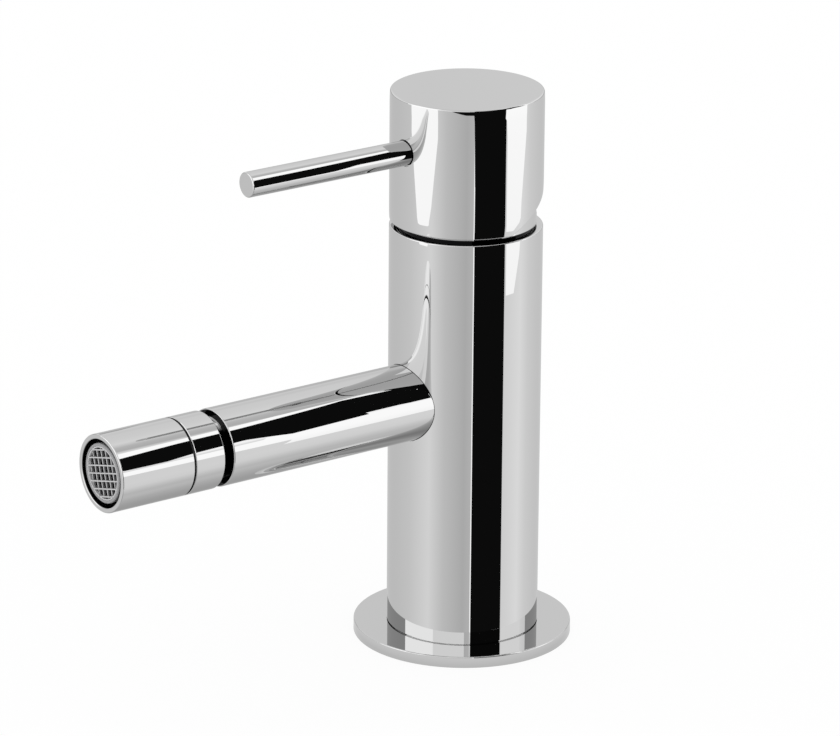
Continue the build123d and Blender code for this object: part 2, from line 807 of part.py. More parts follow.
carrier_peg_depth = moving_disc_offset + carrier_peg_y
peg_places = ((-carrier_peg_x, carrier_peg_depth), (carrier_peg_x, carrier_peg_depth))
with BuildPart() as moving_disc:
    with BuildSketch(Plane.XY.offset(moving_disc_bottom)):
        with Locations((0, moving_disc_offset)):
            Circle(moving_disc_radius)
    extrude(amount=moving_disc_thickness)
    with BuildSketch(Plane.XY.offset(moving_disc_bottom)):
        with Locations((0, moving_disc_offset + mixing_recess_offset)):
            Ellipse(mixing_recess_half_width, mixing_recess_half_length)
    extrude(amount=mixing_recess_depth, mode=Mode.SUBTRACT)
    with BuildSketch(Plane.XY.offset(carrier_bottom)):
        with Locations(*peg_places):
            Circle(carrier_peg_radius + seat_clearance)
    extrude(amount=-carrier_peg_length - seat_clearance, mode=Mode.SUBTRACT)
save(moving_disc, "moving_disc")

# Disc carrier: a plate on the moving disc, a block that holds the stem's ball, and two rails
plate_top = carrier_bottom + carrier_plate
block_top = stem_ball_height + block_above_ball
rail_top = stem_ball_height + rail_top_above_ball
rail_middle = (rail_inner + rail_outer) / 2
pocket_half = stem_ball_radius + stem_ball_clearance
with BuildPart() as disc_carrier:
    with BuildSketch(Plane.XY.offset(carrier_bottom)):
        with Locations((0, moving_disc_offset)):
            Circle(moving_disc_radius)
    extrude(amount=carrier_plate)
    with BuildSketch(Plane.XY.offset(plate_top)):
        Rectangle(block_half_width * 2, block_half_length * 2)
    extrude(amount=block_top - plate_top)
    with BuildSketch(Plane.XY.offset(plate_top)):
        with Locations((-rail_middle, moving_disc_offset), (rail_middle, moving_disc_offset)):
            Rectangle(rail_outer - rail_inner, rail_half_length * 2)
    extrude(amount=rail_top - plate_top)
    with BuildSketch(Plane.XY.offset(stem_ball_height - pocket_half)):
        Rectangle(pocket_half * 2, pocket_half * 2)
    extrude(amount=block_top, mode=Mode.SUBTRACT)
    with BuildSketch(Plane.XY.offset(carrier_bottom)):
        with Locations(*peg_places):
            Circle(carrier_peg_radius)
    extrude(amount=-carrier_peg_length)
save(disc_carrier, "disc_carrier")

# Rotor: a flange over the carrier's rails and a column split by the stem's slot
window_front = disc_travel + block_half_length + window_clearance * 2
window_rear = block_half_length + window_clearance
stop_tab = sector(housing_neck_radius - stop_wall, stop_half_angle)
with BuildPart() as cartridge_rotor:
    with BuildSketch(Plane.XY.offset(rotor_bottom)):
        Circle(cavity_radius - rotor_flange_clearance)
    extrude(amount=rotor_flange_top - rotor_bottom)
    with BuildSketch(Plane.XY.offset(rotor_flange_top)):
        Circle(rotor_column_radius)
    extrude(amount=rotor_top - rotor_flange_top)
    with BuildSketch(Plane.XY.offset(rotor_flange_top)):
        Rectangle(stem_width + running_clearance * 2, rotor_column_radius * 2 + cut_overrun)
    extrude(amount=rotor_top, mode=Mode.SUBTRACT)
    with BuildSketch(Plane.XY.offset(rotor_bottom)):
        with Locations((0, (window_rear - window_front) / 2)):
            Rectangle((block_half_width + window_clearance) * 2, window_front + window_rear)
    extrude(amount=rotor_flange_top - rotor_bottom, mode=Mode.SUBTRACT)
    with BuildSketch(Plane.XY.offset(rotor_bottom)):
        with Locations((-rail_middle, 0), (rail_middle, 0)):
            Rectangle(rail_outer - rail_inner + rail_clearance * 2, cavity_radius * 2)
    extrude(amount=rail_top + groove_clearance - rotor_bottom, mode=Mode.SUBTRACT)
    with BuildSketch(facing_side(cavity_radius, 0, pivot_height)):
        Circle(pin_radius)
    extrude(amount=cavity_radius * 2, mode=Mode.SUBTRACT)
    with BuildSketch(Plane.XY.offset(housing_top - stop_depth + stop_clearance)):
        add(stop_tab)
        Circle(rotor_column_radius - stop_depth, mode=Mode.SUBTRACT)
    extrude(amount=stop_depth - stop_clearance + rotor_above_housing)
save(cartridge_rotor, "cartridge_rotor")

pin_half = sqrt(rotor_column_radius**2 - pin_radius**2) - pin_end_gap
with BuildPart() as stem_pin:
    with BuildSketch(facing_side(pin_half, 0, pivot_height)):
        Circle(pin_radius)
    extrude(amount=pin_half * 2)
    chamfer(stem_pin.edges().filter_by(GeomType.CIRCLE), seam_chamfer)
save(stem_pin, "stem_pin")

# Cartridge stem: square shank, hub around the pin, thin rod and ball
with BuildPart() as cartridge_stem:
    with BuildSketch(Plane.XY.offset(pivot_height)):
        Rectangle(stem_width, stem_width)
    extrude(amount=stem_top_above_pivot)
    chamfer(cartridge_stem.faces().sort_by(Axis.Z)[-1].edges(), stem_chamfer)
    with BuildSketch(facing_side(stem_width / 2, 0, pivot_height)):
        Circle(stem_hub_radius)
    extrude(amount=stem_width)
    with BuildSketch(Plane.XY.offset(stem_ball_height)):
        Circle(stem_rod_radius)
    extrude(amount=stem_arm)
    with Locations((0, 0, stem_ball_height)):
        Sphere(stem_ball_radius)
    with BuildSketch(facing_side(stem_width, 0, pivot_height)):
        Circle(pin_radius + running_clearance)
    extrude(amount=stem_width * 2, mode=Mode.SUBTRACT)
save(cartridge_stem, "cartridge_stem")

# Handle cap: a thin round shell, an inner boss on the stem, a boss for the lever and the relief cut
boss_bottom = handle_bottom + boss_bottom_rise
cavity_ceiling = handle_top - cap_top_wall
socket_top = handle_bottom + socket_top_rise
cap_inner = body_radius - cap_wall
socket_wall = adapter_radius + seat_clearance
relief_rise = (body_radius + cut_overrun) * tan(radians(relief_angle))
lever_seat = body_radius - lever_socket_depth
with BuildPart() as handle_cap:
    with BuildSketch(Plane.XY.offset(handle_bottom)):
        Circle(body_radius)
    extrude(amount=handle_height)
    with BuildSketch(Plane.XY.offset(handle_bottom)):
        Circle(cap_inner)
    extrude(amount=cavity_ceiling - handle_bottom, mode=Mode.SUBTRACT)
    with BuildSketch(Plane.XY.offset(boss_bottom)):
        Circle(boss_radius)
    extrude(amount=cavity_ceiling - boss_bottom)
    with BuildSketch(facing_front(boss_radius / 2, lever_height)):
        Circle(lever_boss_radius)
    extrude(amount=cap_inner - boss_radius / 2)
    with BuildSketch(Plane.XY.offset(boss_bottom)):
        Circle(socket_wall)
    extrude(amount=socket_top - boss_bottom, mode=Mode.SUBTRACT)
    with BuildSketch(facing_front(0, lever_height)):
        Circle(lever_thread_radius + seat_clearance)
    extrude(amount=body_radius + cut_overrun, mode=Mode.SUBTRACT)
    with BuildSketch(facing_front(lever_seat, lever_height)):
        Circle(lever_radius + lever_gap)
    extrude(amount=lever_socket_depth + cut_overrun, mode=Mode.SUBTRACT)
    with BuildSketch(Plane.YZ):
        with BuildLine():
            Polyline(
                (0, handle_bottom - cut_overrun),
                (body_radius + cut_overrun, handle_bottom - cut_overrun),
                (body_radius + cut_overrun, handle_bottom + relief_rise),
                (0, handle_bottom),
                close=True,
            )
        make_face()
    extrude(amount=body_radius + cut_overrun, both=True, mode=Mode.SUBTRACT)
    fillet(handle_cap.faces().sort_by(Axis.Z)[-1].outer_wire().edges(), cap_top_round)
save(handle_cap, "handle_cap")

adapter_bottom = boss_bottom + adapter_end_gap
adapter_top = socket_top - adapter_end_gap
with BuildPart() as stem_adapter:
    with BuildSketch(Plane.XY.offset(adapter_bottom)):
        Circle(adapter_radius)
        Rectangle(
            stem_width + seat_clearance * 2, stem_width + seat_clearance * 2, mode=Mode.SUBTRACT
        )
    extrude(amount=adapter_top - adapter_bottom)
save(stem_adapter, "stem_adapter")

# Lever pin and the grub screw behind its threaded end
tail_end = lever_seat - lever_thread_length
with BuildPart() as lever_pin:
    with BuildSketch(facing_front(tail_end, lever_height)):
        Circle(lever_thread_radius)
    extrude(amount=lever_thread_length)
    with BuildSketch(facing_front(lever_seat, lever_height)):
        Circle(lever_radius)
    extrude(amount=lever_reach - lever_seat)
    chamfer(lever_pin.faces().sort_by(Axis.Y)[0].edges(), lever_tip_chamfer)
save(lever_pin, "lever_pin")

grub_rear = adapter_radius + seat_clearance
grub_front = tail_end - grub_gap
with BuildPart() as grub_screw:
    with BuildSketch(facing_front(grub_rear, lever_height)):
        Circle(lever_thread_radius)
    extrude(amount=grub_front - grub_rear)
    with BuildSketch(facing_front(grub_front, lever_height)):
        RegularPolygon(grub_hex_size / 2, 6, major_radius=False)
    extrude(amount=-grub_hex_depth, mode=Mode.SUBTRACT)
save(grub_screw, "grub_screw")
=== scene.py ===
"""The looks of a single-lever bidet mixer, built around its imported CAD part.

The pieces that show are made again here as finely divided surfaces with exact normals, so that the
chrome mirrors its surroundings cleanly. The pieces inside keep their CAD meshes and get materials.
Lengths in this script are in millimetres, and a mesh is scaled to metres when it is made.
"""

import json
from collections import namedtuple
from math import acos, asin, atan2, cos, pi, radians, sin, sqrt, tan
from types import SimpleNamespace

import bpy
import numpy as np
from bpy.props import FloatProperty, FloatVectorProperty, IntProperty, PointerProperty
from mathutils import Matrix, Vector
from mathutils.geometry import tessellate_polygon


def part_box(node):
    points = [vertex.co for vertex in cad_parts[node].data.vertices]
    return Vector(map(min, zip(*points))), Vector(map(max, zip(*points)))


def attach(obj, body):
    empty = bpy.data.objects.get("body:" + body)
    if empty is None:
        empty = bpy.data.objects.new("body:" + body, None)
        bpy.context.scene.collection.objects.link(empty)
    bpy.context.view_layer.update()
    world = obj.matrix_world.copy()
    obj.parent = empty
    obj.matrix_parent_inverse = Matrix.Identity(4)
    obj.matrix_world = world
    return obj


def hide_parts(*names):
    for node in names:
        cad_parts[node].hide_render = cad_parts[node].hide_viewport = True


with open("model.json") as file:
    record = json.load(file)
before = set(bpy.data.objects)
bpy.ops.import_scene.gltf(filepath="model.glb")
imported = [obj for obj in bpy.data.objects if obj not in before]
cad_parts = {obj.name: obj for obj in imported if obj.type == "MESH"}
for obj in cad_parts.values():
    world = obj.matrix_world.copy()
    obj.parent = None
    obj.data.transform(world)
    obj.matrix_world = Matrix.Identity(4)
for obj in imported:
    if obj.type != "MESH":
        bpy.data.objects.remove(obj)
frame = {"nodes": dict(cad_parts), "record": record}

bl_info = {
    "name": "Bidet mixer looks",
    "version": (1, 0, 0),
    "blender": (4, 5, 0),
    "location": "3D View > Sidebar > Mixer",
    "description": "Surfaces, materials and studio of a single-lever bidet mixer",
    "category": "Object",
}

MM = 0.001
WELD_STEPS_PER_MM = 10000
OPEN_EDGES_NAMED = 8
NO_LENGTH = 1e-9

Axle = namedtuple("Axle", "origin along across up")
UPRIGHT = Axle(np.zeros(3), np.array([0.0, 0, 1]), np.array([1.0, 0, 0]), np.array([0.0, 1, 0]))


def pointing_front(height):
    """The axis at this height that points along -Y, with X across it and Z up."""
    origin = np.array([0.0, 0, height])
    return Axle(origin, np.array([0.0, -1, 0]), np.array([1.0, 0, 0]), np.array([0.0, 0, 1]))


class MixerLooks(bpy.types.PropertyGroup):
    """How finely the pieces are made, and how their finish looks."""

    ring_steps: IntProperty(
        name="Ring steps", description="Divisions around a turned piece", default=256, min=32
    )
    edge_steps: IntProperty(
        name="Edge steps", description="Divisions across a rounded edge", default=8, min=2
    )
    roll_length: FloatProperty(
        name="Roll length",
        description="How far from a polished edge the wall starts to fall away, in mm",
        default=3.0,
    )
    cap_roll: FloatProperty(
        name="Cap roll", description="How far the cap's wall falls away at its edges, in mm", default=0.08
    )
    body_roll: FloatProperty(
        name="Body roll", description="How far the column's wall falls away at its top, in mm", default=0.008
    )
    chrome_colour: FloatVectorProperty(
        name="Chrome colour", subtype="COLOR", default=(0.62, 0.62, 0.62), description="Polished chrome"
    )
    frame_colour: FloatVectorProperty(
        name="Frame colour", subtype="COLOR", default=(0.31, 0.31, 0.315), description="Aerator cage"
    )
    grid_colour: FloatVectorProperty(
        name="Grid colour", subtype="COLOR", default=(0.56, 0.56, 0.565), description="Aerator grid"
    )


class StudioLooks(bpy.types.PropertyGroup):
    """The light and the camera around the mixer."""

    floor_light: FloatProperty(
        name="Floor light", description="Strength of the light that the floor gets", default=1.0
    )
    camera_turn: FloatProperty(
        name="Camera turn",
        description="How far the camera stands round from the spout's side",
        default=radians(53.6),
        subtype="ANGLE",
    )
    camera_tilt: FloatProperty(
        name="Camera tilt", description="How far it looks down", default=0.33093, subtype="ANGLE"
    )
    camera_roll: FloatProperty(
        name="Camera roll", description="How far it leans", default=0.00789, subtype="ANGLE"
    )
    camera_back: FloatProperty(
        name="Camera distance", description="Level distance from the column, in mm", default=1300.0
    )
    camera_side: FloatProperty(
        name="Camera side", description="Distance to the left of the column, in mm", default=11.64
    )
    camera_height: FloatProperty(
        name="Camera height", description="Height over the floor, in mm", default=519.46
    )
    lens: FloatProperty(
        name="Lens", description="Focal length on a 36 mm sensor, in mm", default=225.06
    )


# Profiles


def straight(start, end):
    """A straight run of a profile: its ends, and the normal to the right of the way it goes."""
    ends = np.array([start, end], float)
    along = (ends[1] - ends[0]) / np.linalg.norm(ends[1] - ends[0])
    return ends, np.tile([along[1], -along[0]], (2, 1))


def arc(centre, radius, start_angle, end_angle, steps):
    """A round run: points at the radius from the centre. Going clockwise, it faces the centre."""
    angle = np.linspace(start_angle, end_angle, steps + 1)
    outward = np.stack([np.cos(angle), np.sin(angle)], 1)
    facing = 1 if end_angle > start_angle else -1
    return np.array(centre) + outward * radius, outward * facing


def rounded_corner(before, corner, after, radius, steps):
    """The arc that touches both sides of a corner, at the radius over the half angle's tangent."""
    back = (before - corner) / np.linalg.norm(before - corner)
    on = (after - corner) / np.linalg.norm(after - corner)
    half = acos(np.clip(back @ on, -1, 1)) / 2
    middle = (back + on) / np.linalg.norm(back + on)
    centre = corner + middle * radius / sin(half)
    start = corner + back * radius / tan(half) - centre
    end = corner + on * radius / tan(half) - centre
    first = atan2(start[1], start[0])
    swing = (atan2(end[1], end[0]) - first + pi) % (2 * pi) - pi
    return arc(centre, radius, first, first + swing, steps)


def outline(corners, steps=6, closed=True):
    """Runs through corners given as (across, along) or (across, along, round radius)."""
    places = [np.array(c[:2], float) for c in corners]
    radii = [c[2] if len(c) > 2 else 0 for c in corners]
    count = len(corners)
    arcs = {}
    for i, radius in enumerate(radii):
        if radius:
            before, after = places[i - 1], places[(i + 1) % count]
            arcs[i] = rounded_corner(before, places[i], after, radius, steps)
    runs = []
    for i in range(count):
        if i in arcs:
            runs.append(arcs[i])
        following = (i + 1) % count
        if following == 0 and not closed:
            break
        start = arcs[i][0][-1] if i in arcs else places[i]
        end = arcs[following][0][0] if following in arcs else places[following]
        runs.append(straight(start, end))
    return runs


def roll_off(length, depth):
    """The radius of an arc that falls away by the depth over the length, and its slope there.

    The radius is the sum of both squares over twice the depth.
    """
    radius = (length**2 + depth**2) / (2 * depth)
    return radius, asin(length / radius)


def groove(wall, floor, start, end):
    """The corners of a square groove in a wall."""
    return [(wall, start), (floor, start), (floor, end), (wall, end)]


def soft_top_edge(radius, top, edge_round, depth, looks):
    """Runs up a wall to its flat top: a long arc that falls away slowly, then the edge's own arc.

    The height where the wall starts to fall away and the top face's radius come with them.
    """
    roll_radius, slope = roll_off(looks.roll_length, depth)
    roll_start = top - edge_round * (1 - sin(slope)) - looks.roll_length
    rolling = arc((radius - roll_radius, roll_start), roll_radius, 0, slope, looks.edge_steps * 2)
    edge_centre = (radius - depth - edge_round * cos(slope), top - edge_round)
    edge = arc(edge_centre, edge_round, slope, pi / 2, looks.edge_steps)
    return roll_start, edge[0][-1][0], [rolling, edge]


# Surfaces


def spokes(axle, angles):
    """Directions at right angles to an axis: cosine times across, plus sine times up."""
    return np.cos(angles)[:, None] * axle.across + np.sin(angles)[:, None] * axle.up


def ring_of(axle, radius, reach, angles):
    """The points of a circle round an axis."""
    return axle.origin + axle.along * reach + spokes(axle, angles) * radius


def full_turn(steps):
    """Angles of a whole turn. The last one lies on the first."""
    return np.linspace(0, 2 * pi, steps + 1)


class Skin:
    """Faces with a normal at each corner, collected patch by patch and welded into one mesh."""

    def __init__(self):
        self.points = []
        self.normals = []

    def patch(self, points, normals, kept=...):
        """A grid of points, as one quad for each of its cells or for each that is kept."""
        for source, store in ((points, self.points), (normals, self.normals)):
            cells = [source[:-1, :-1], source[1:, :-1], source[1:, 1:], source[:-1, 1:]]
            store.append(np.stack(cells, 2)[kept].reshape(-1, 4, 3))

    def turn(self, runs, axle, angles):
        """A profile turned round an axis: across times the spoke, plus along times the axis."""
        spoke = spokes(axle, angles)
        for places, facing in runs:
            across = places[:, 0, None, None] * spoke
            along = places[:, 1, None, None] * axle.along
            normal = facing[:, 0, None, None] * spoke + facing[:, 1, None, None] * axle.along
            self.patch(axle.origin + across + along, normal)

    def bridge(self, first, second, normals):
        """Straight lines between two rings of points."""
        points = np.stack([first, second])
        self.patch(points, np.broadcast_to(normals, points.shape))

    def fill(self, rings, normal):
        """A flat face between an outer ring and the rings of its holes."""
        loops = [[Vector(p) for p in ring[:-1]] for ring in rings]
        flat = np.concatenate([ring[:-1] for ring in rings])
        triangles = np.array(tessellate_polygon(loops))
        corners = flat[triangles[:, [0, 1, 2, 2]]]
        self.points.append(corners)
        self.normals.append(np.broadcast_to(np.array(normal, float), corners.shape))

    def mesh(self, name):
        """Welds the corners, turns the faces outward and makes a closed mesh of them."""
        points = np.concatenate(self.points)
        normals = np.concatenate(self.normals)
        diagonal = np.cross(points[:, 2] - points[:, 0], points[:, 3] - points[:, 1])
        wrong = (diagonal * normals.sum(1)).sum(1) < 0
        points[wrong] = points[wrong][:, ::-1]
        normals[wrong] = normals[wrong][:, ::-1]
        keys = np.round(points.reshape(-1, 3) * WELD_STEPS_PER_MM).astype(np.int64)
        _, first, corner = np.unique(keys, axis=0, return_index=True, return_inverse=True)
        places = points.reshape(-1, 3)[first]
        corner = corner.reshape(-1, 4)
        doubled = corner == np.roll(corner, -1, 1)
        real = doubled.sum(1) < 2
        corner, doubled, normals = corner[real], doubled[real], normals[real]
        used = ~doubled
        sizes = used.sum(1)
        starts = np.concatenate([[0], np.cumsum(sizes)[:-1]])
        edges = np.stack([corner, np.roll(corner, -1, 1)], 2)
        before_doubled = np.roll(doubled, -1, 1)
        edges[before_doubled, 1] = np.roll(corner, -2, 1)[before_doubled]
        pairs, number = np.unique(np.sort(edges[used], 1), axis=0, return_counts=True)
        if (number != 2).any():
            open_corners = places[pairs[number != 2][:OPEN_EDGES_NAMED]]
            raise ValueError(f"{name} isn't closed at {open_corners.round(4).tolist()}")
        mesh = bpy.data.meshes.new(name)
        mesh.vertices.add(len(places))
        mesh.vertices.foreach_set("co", (places * MM).astype(np.float32).ravel())
        mesh.loops.add(int(sizes.sum()))
        mesh.loops.foreach_set("vertex_index", corner[used].astype(np.int32))
        mesh.polygons.add(len(sizes))
        mesh.polygons.foreach_set("loop_start", starts.astype(np.int32))
        mesh.update(calc_edges=True)
        mesh.shade_smooth()
        length = np.linalg.norm(normals, axis=2, keepdims=True)
        mesh.normals_split_custom_set((normals / length)[used].tolist())
        mesh.validate()
        return mesh


def add_piece(skin, name, body, nodes, material):
    """A piece that stands for CAD nodes and moves with their body."""
    piece = bpy.data.objects.new(name, skin.mesh(name))
    bpy.context.scene.collection.objects.link(piece)
    piece.data.materials.append(material)
    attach(piece, body)
    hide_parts(*nodes)


# The cells left out round a hole reach this share of its half width, and this many cells more
BLOCK_SHARE = 1.15
BLOCK_SPARE = 2
RIM_RINGS = 7


def pierced_wall(skin, radius, bottom, top, hole_height, hole_radius, steps):
    """A round wall with a hole towards -Y, and the angles of the hole's rim.

    The cells round the hole are left out. Lines on the wall join their border to the rim, whose
    points lie at asin(across / radius) round the wall.
    """
    pitch = 2 * pi / steps
    half_cells = int(asin(hole_radius / radius) * BLOCK_SHARE / pitch) + BLOCK_SPARE
    half_block = half_cells * pitch * radius
    cells = half_cells * 2
    block_turns = np.arange(-half_cells, half_cells + 1) * pitch
    block_heights = np.linspace(hole_height - half_block, hole_height + half_block, cells + 1)

    def add_wall(turn, height, kept=...):
        """The cells between points of the wall that lie this far round from -Y."""
        facing = np.stack([np.sin(turn), -np.cos(turn), np.zeros_like(turn)], -1)
        skin.patch(facing * radius + height[..., None] * UPRIGHT.along, facing, kept)

    heights = np.concatenate([[bottom], block_heights, [top]])
    kept = np.ones((len(heights) - 1, steps), bool)
    kept[1:-1, steps // 2 - half_cells : steps // 2 + half_cells] = False
    add_wall(*np.meshgrid(full_turn(steps) - pi, heights), kept)

    left, right = np.full(cells + 1, block_turns[0]), np.full(cells, block_turns[-1])
    low, high = np.full(cells, block_heights[0]), np.full(cells, block_heights[-1])
    border_turn = np.concatenate([block_turns[:-1], right, block_turns[:0:-1], left])
    border_height = np.concatenate([low, block_heights[:-1], high, block_heights[::-1]])
    rim_angle = np.arctan2(border_height - hole_height, border_turn * radius)
    rim_turn = np.arcsin(hole_radius * np.cos(rim_angle) / radius)
    rim_height = hole_height + hole_radius * np.sin(rim_angle)
    part = np.linspace(0, 1, RIM_RINGS)[:, None]
    turn = rim_turn * (1 - part) + border_turn * part
    add_wall(turn, rim_height * (1 - part) + border_height * part)
    return rim_angle


def rim_on_wall(axle, wall_radius, hole_radius, angles):
    """The rim of a hole in a round wall.

    Each point's reach is the root of the wall's radius squared less its place across squared.
    """
    rim = ring_of(axle, hole_radius, 0, angles)
    rim[:, 1] = -np.sqrt(wall_radius**2 - rim[:, 0] ** 2)
    return rim


def bored_wall(skin, radius, bottom, top, axle, stations, looks):
    """A round wall with a stepped bore towards -Y, and the angles of the bore's points.

    From the wall's rim, the bore goes in by stations of a radius and a reach: by turns a wall that
    faces the axis and a ledge that faces the front.
    """
    hole_radius = stations[0][0]
    angles = pierced_wall(skin, radius, bottom, top, axle.origin[2], hole_radius, looks.ring_steps)
    normals = (-spokes(axle, angles), axle.along)
    last = rim_on_wall(axle, radius, hole_radius, angles)
    for step, (ring_radius, reach) in enumerate(stations):
        ring = ring_of(axle, ring_radius, reach, angles)
        skin.bridge(last, ring, normals[step % 2])
        last = ring
    return angles


def upright_at(centre):
    """The upright axis through a place of the floor."""
    return UPRIGHT._replace(origin=np.array([*centre, 0.0]))


def upright_bore(skin, centre, radius, bottom, top, angles):
    """A bore's wall and the rings at its ends."""
    axle = upright_at(centre)
    low = ring_of(axle, radius, bottom, angles)
    high = ring_of(axle, radius, top, angles)
    skin.bridge(low, high, -spokes(axle, angles))
    return low, high


def threaded_hole(skin, centre, radius, angles):
    """A hole from below with a lead-in, and the rings at its mouth and its end."""
    mouth = ring_of(upright_at(centre), radius + HOLE_LEAD_IN, 0, angles)
    low, high = upright_bore(skin, centre, radius, HOLE_LEAD_IN, THREAD_DEPTH, angles)
    skin.bridge(mouth, low, -spokes(UPRIGHT, angles) - UPRIGHT.along)
    return mouth, high


def turned(runs, axle, looks, coarser=1):
    """A piece that is one profile turned round an axis."""
    skin = Skin()
    skin.turn(runs, axle, full_turn(looks.ring_steps // coarser))
    return skin


# Sizes read from the frame, in millimetres


def size_of(node):
    """The lowest and highest corners of a CAD node."""
    low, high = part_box(node)
    return np.array(low) / MM, np.array(high) / MM


def read_sizes():
    """The main sizes of the mixer, from the boxes of its CAD nodes."""
    body_low, body_high = size_of("body")
    flange_low, flange_high = size_of("base_flange")
    spout_low, spout_high = size_of("spout_tube")
    ring_low, ring_high = size_of("swivel_ring")
    sleeve_low, sleeve_high = size_of("aerator_sleeve")
    cap_low, cap_high = size_of("handle_cap")
    lever_low, lever_high = size_of("lever_pin")
    cover_low, cover_high = size_of("cartridge_cover")
    return SimpleNamespace(
        radius=body_high[0],
        top=body_high[2],
        shoulder=flange_high[2],
        flange=flange_high[0],
        spout_height=(spout_low[2] + spout_high[2]) / 2,
        spout_radius=spout_high[0],
        spout_end=-spout_low[1],
        ball=-ring_high[1] + BALL_BEHIND_RING,
        ring_rear=-ring_high[1],
        seam=-ring_low[1],
        mouth=-sleeve_low[1],
        cap_bottom=cap_low[2],
        cap_top=cap_high[2],
        lever_height=(lever_low[2] + lever_high[2]) / 2,
        lever_radius=lever_high[0],
        lever_reach=-lever_low[1],
        pivot=cover_high[2] - COVER_TOP_ABOVE_PIVOT,
    )


# Sizes inside the pieces, in millimetres, most of them as in the part

SEAT_GAP = 0.05
SEAM_GROOVE_WIDTH = 0.65
SEAM_GROOVE_DEPTH = 0.75
SEAM_EDGE = 0.12
FOOT_GROOVE_HEIGHT = 0.3
FOOT_GROOVE_DEPTH = 0.5
SMALL_ROUND = 0.3
SPIGOT_RADIUS = 16.5
SPIGOT_GROOVE_FLOOR = 15.0
SPIGOT_GROOVE_HALF = 0.75
COVER_RECESS_RADIUS = 17.7
COVER_RECESS_DEPTH = 2.0
NUT_BORE_RADIUS = 14.0
NUT_BORE_DEPTH = 7.7
CARTRIDGE_RADIUS = 12.5
CARTRIDGE_DEPTH = 24.7
PORT_PLACES = ((-6.4, -3.2), (6.4, -3.2))
PORT_RADIUS = 2.2
INLET_PLACES = ((-7.0, -3.5), (7.0, -3.5))
INLET_RADIUS = 4.46
THREAD_DEPTH = 12.0
HOLE_LEAD_IN = 0.5
STUD_PLACE = (0.0, 10.0)
STUD_RADIUS = 3.32
PEG_CIRCLE = 10.05
PEG_ANGLE = radians(31)
PEG_RADIUS = 1.35
PEG_DEPTH = 3.05
OUTLET_PLACE = 5.0
OUTLET_RADIUS = 2.4
WATERWAY_RADIUS = 3.0
WATERWAY_BEND = 4.0
SOCKET_GAP = 0.12
SOCKET_FLOOR = 16.0
ROOT_RADIUS = 8.5
ROOT_FLOOR = 9.5
FLANGE_HOLE_RADIUS = 16.55
FLANGE_ROUND = 0.3
SEAL_INNER = 19.0
SEAL_OUTER = 26.0
SEAL_THICKNESS = 1.8
SEAL_ROUND = 0.2
TUBE_BORE = 6.0
ROOT_GROOVE = (13.55, 14.85)
ROOT_GROOVE_FLOOR = 7.2
TAIL_BORE = 7.55
TAIL_DEPTH = 7.95
COLLAR_RECESS_RADIUS = 8.35
COLLAR_RECESS_DEPTH = 1.25
BALL_BEHIND_RING = 2.2
BALL_RADIUS = 8.6
BALL_FACE_RADIUS = 4.3
STEM_BORE = 3.4
STEM_RADIUS = 7.5
STEM_REAR = 11.6
STEM_GROOVE = (7.2, 6.1)
STEM_GROOVE_FLOOR = 6.45
COLLAR_RADIUS = 8.3
COLLAR_FRONT = 4.65
NECK_RADIUS = 7.45
KEY_HALF_FLATS = 5.0
KEY_DEPTH = 4.0
RING_BORE = 8.65
RING_THREAD = 9.35
RING_THREAD_LENGTH = 2.8
POCKET_SPHERE = 9.65
POCKET_FRONT = radians(37.5)
POCKET_REAR = radians(60.5)
THROAT_RADIUS = 5.405
WEB_END = 14.3
MOUTH_RADIUS = 8.85
MOUTH_BORE_START = 23.3
SLEEVE_THREAD = 8.2
CAGE_REAR = 15.5
CAGE_BELOW_MOUTH = 0.4
CAGE_REAR_RADIUS = 6.9
CAGE_REAR_DEPTH = 1.8
CAGE_THREAD = 8.15
CAGE_THREAD_LENGTH = 7.3
CAGE_BORE = 6.1
FRAME_RADIUS = 7.75
FRAME_CHAMFER = 0.2
GRID_RADIUS = 7.0
GRID_DEPTH = 1.5
GRID_RIM = 0.35
GRID_PITCH = 2.0
GRID_TURN = radians(15.5)
FRONT_BAR_WIDTH = 0.32
REAR_BAR_WIDTH = 0.42
BAR_THICKNESS = 0.6
BAR_ROUND = 0.08
BARS_EACH_SIDE = 3
COVER_NECK_RADIUS = 17.65
COVER_INNER_RADIUS = 16.35
COVER_BASE_RADIUS = 18.3
COVER_DOME_RADIUS = 18.5
COVER_LIP_GAP = 0.65
COVER_TOP_ABOVE_PIVOT = 6.6
COVER_WALL = 1.3
COVER_OPENING = 11.5
COVER_TOP_ROUND = 0.6
COVER_GROOVE = (0.45, 1.55)
COVER_GROOVE_FLOOR = 16.6
CAP_INNER_RADIUS = 18.8
CAP_CEILING_DEPTH = 4.5
CAP_TOP_ROUND = 0.5
CAP_BOTTOM_ROUND = 0.25
RELIEF_ANGLE = radians(27)
BOSS_RADIUS = 8.0
BOSS_RISE = 11.8
STEM_SOCKET_RADIUS = 6.05
STEM_SOCKET_RISE = 24.3
LEVER_BOSS_RADIUS = 6.0
LEVER_BOSS_ROOT = 7.5
LEVER_SEAT = 18.6
LEVER_GAP = 0.3
LEVER_THREAD = 2.5
LEVER_THREAD_END = 11.5
LEVER_TIP_CHAMFER = 0.35
LEVER_BORE_END = 7.0
WALL_JOIN_HEIGHT = 128.0


# Materials

# Painted shade: a near-black colour that stands in for the shade in gaps, bores and the mouth, and the sizes
# in mm of the masks that place it
PAINTED_GAP_SHADE = (0.008, 0.008, 0.0085)
MASK_SOFTNESS = 0.1
COVER_PAINTED_SHADE_FOOT = 0.95
BALL_PAINTED_SHADE_HALF = 6.7
BALL_PAINTED_SHADE_SOFTNESS = 0.8
BRIGHT_RIM = 0.2
# Painted shade on the grid's rear bars
REAR_BAR_PAINTED_SHADE = (0.25, 0.25, 0.255)
PATCH_DETAIL = 3.0
PATCH_ENDS = (0.3, 0.7)
WAVE_DETAIL = 1.0

# Sockets of a Mix node when it mixes colours, which share their names with others
MIX_SHARE, MIX_FIRST, MIX_SECOND = 0, 6, 7
MIX_RESULT = 2


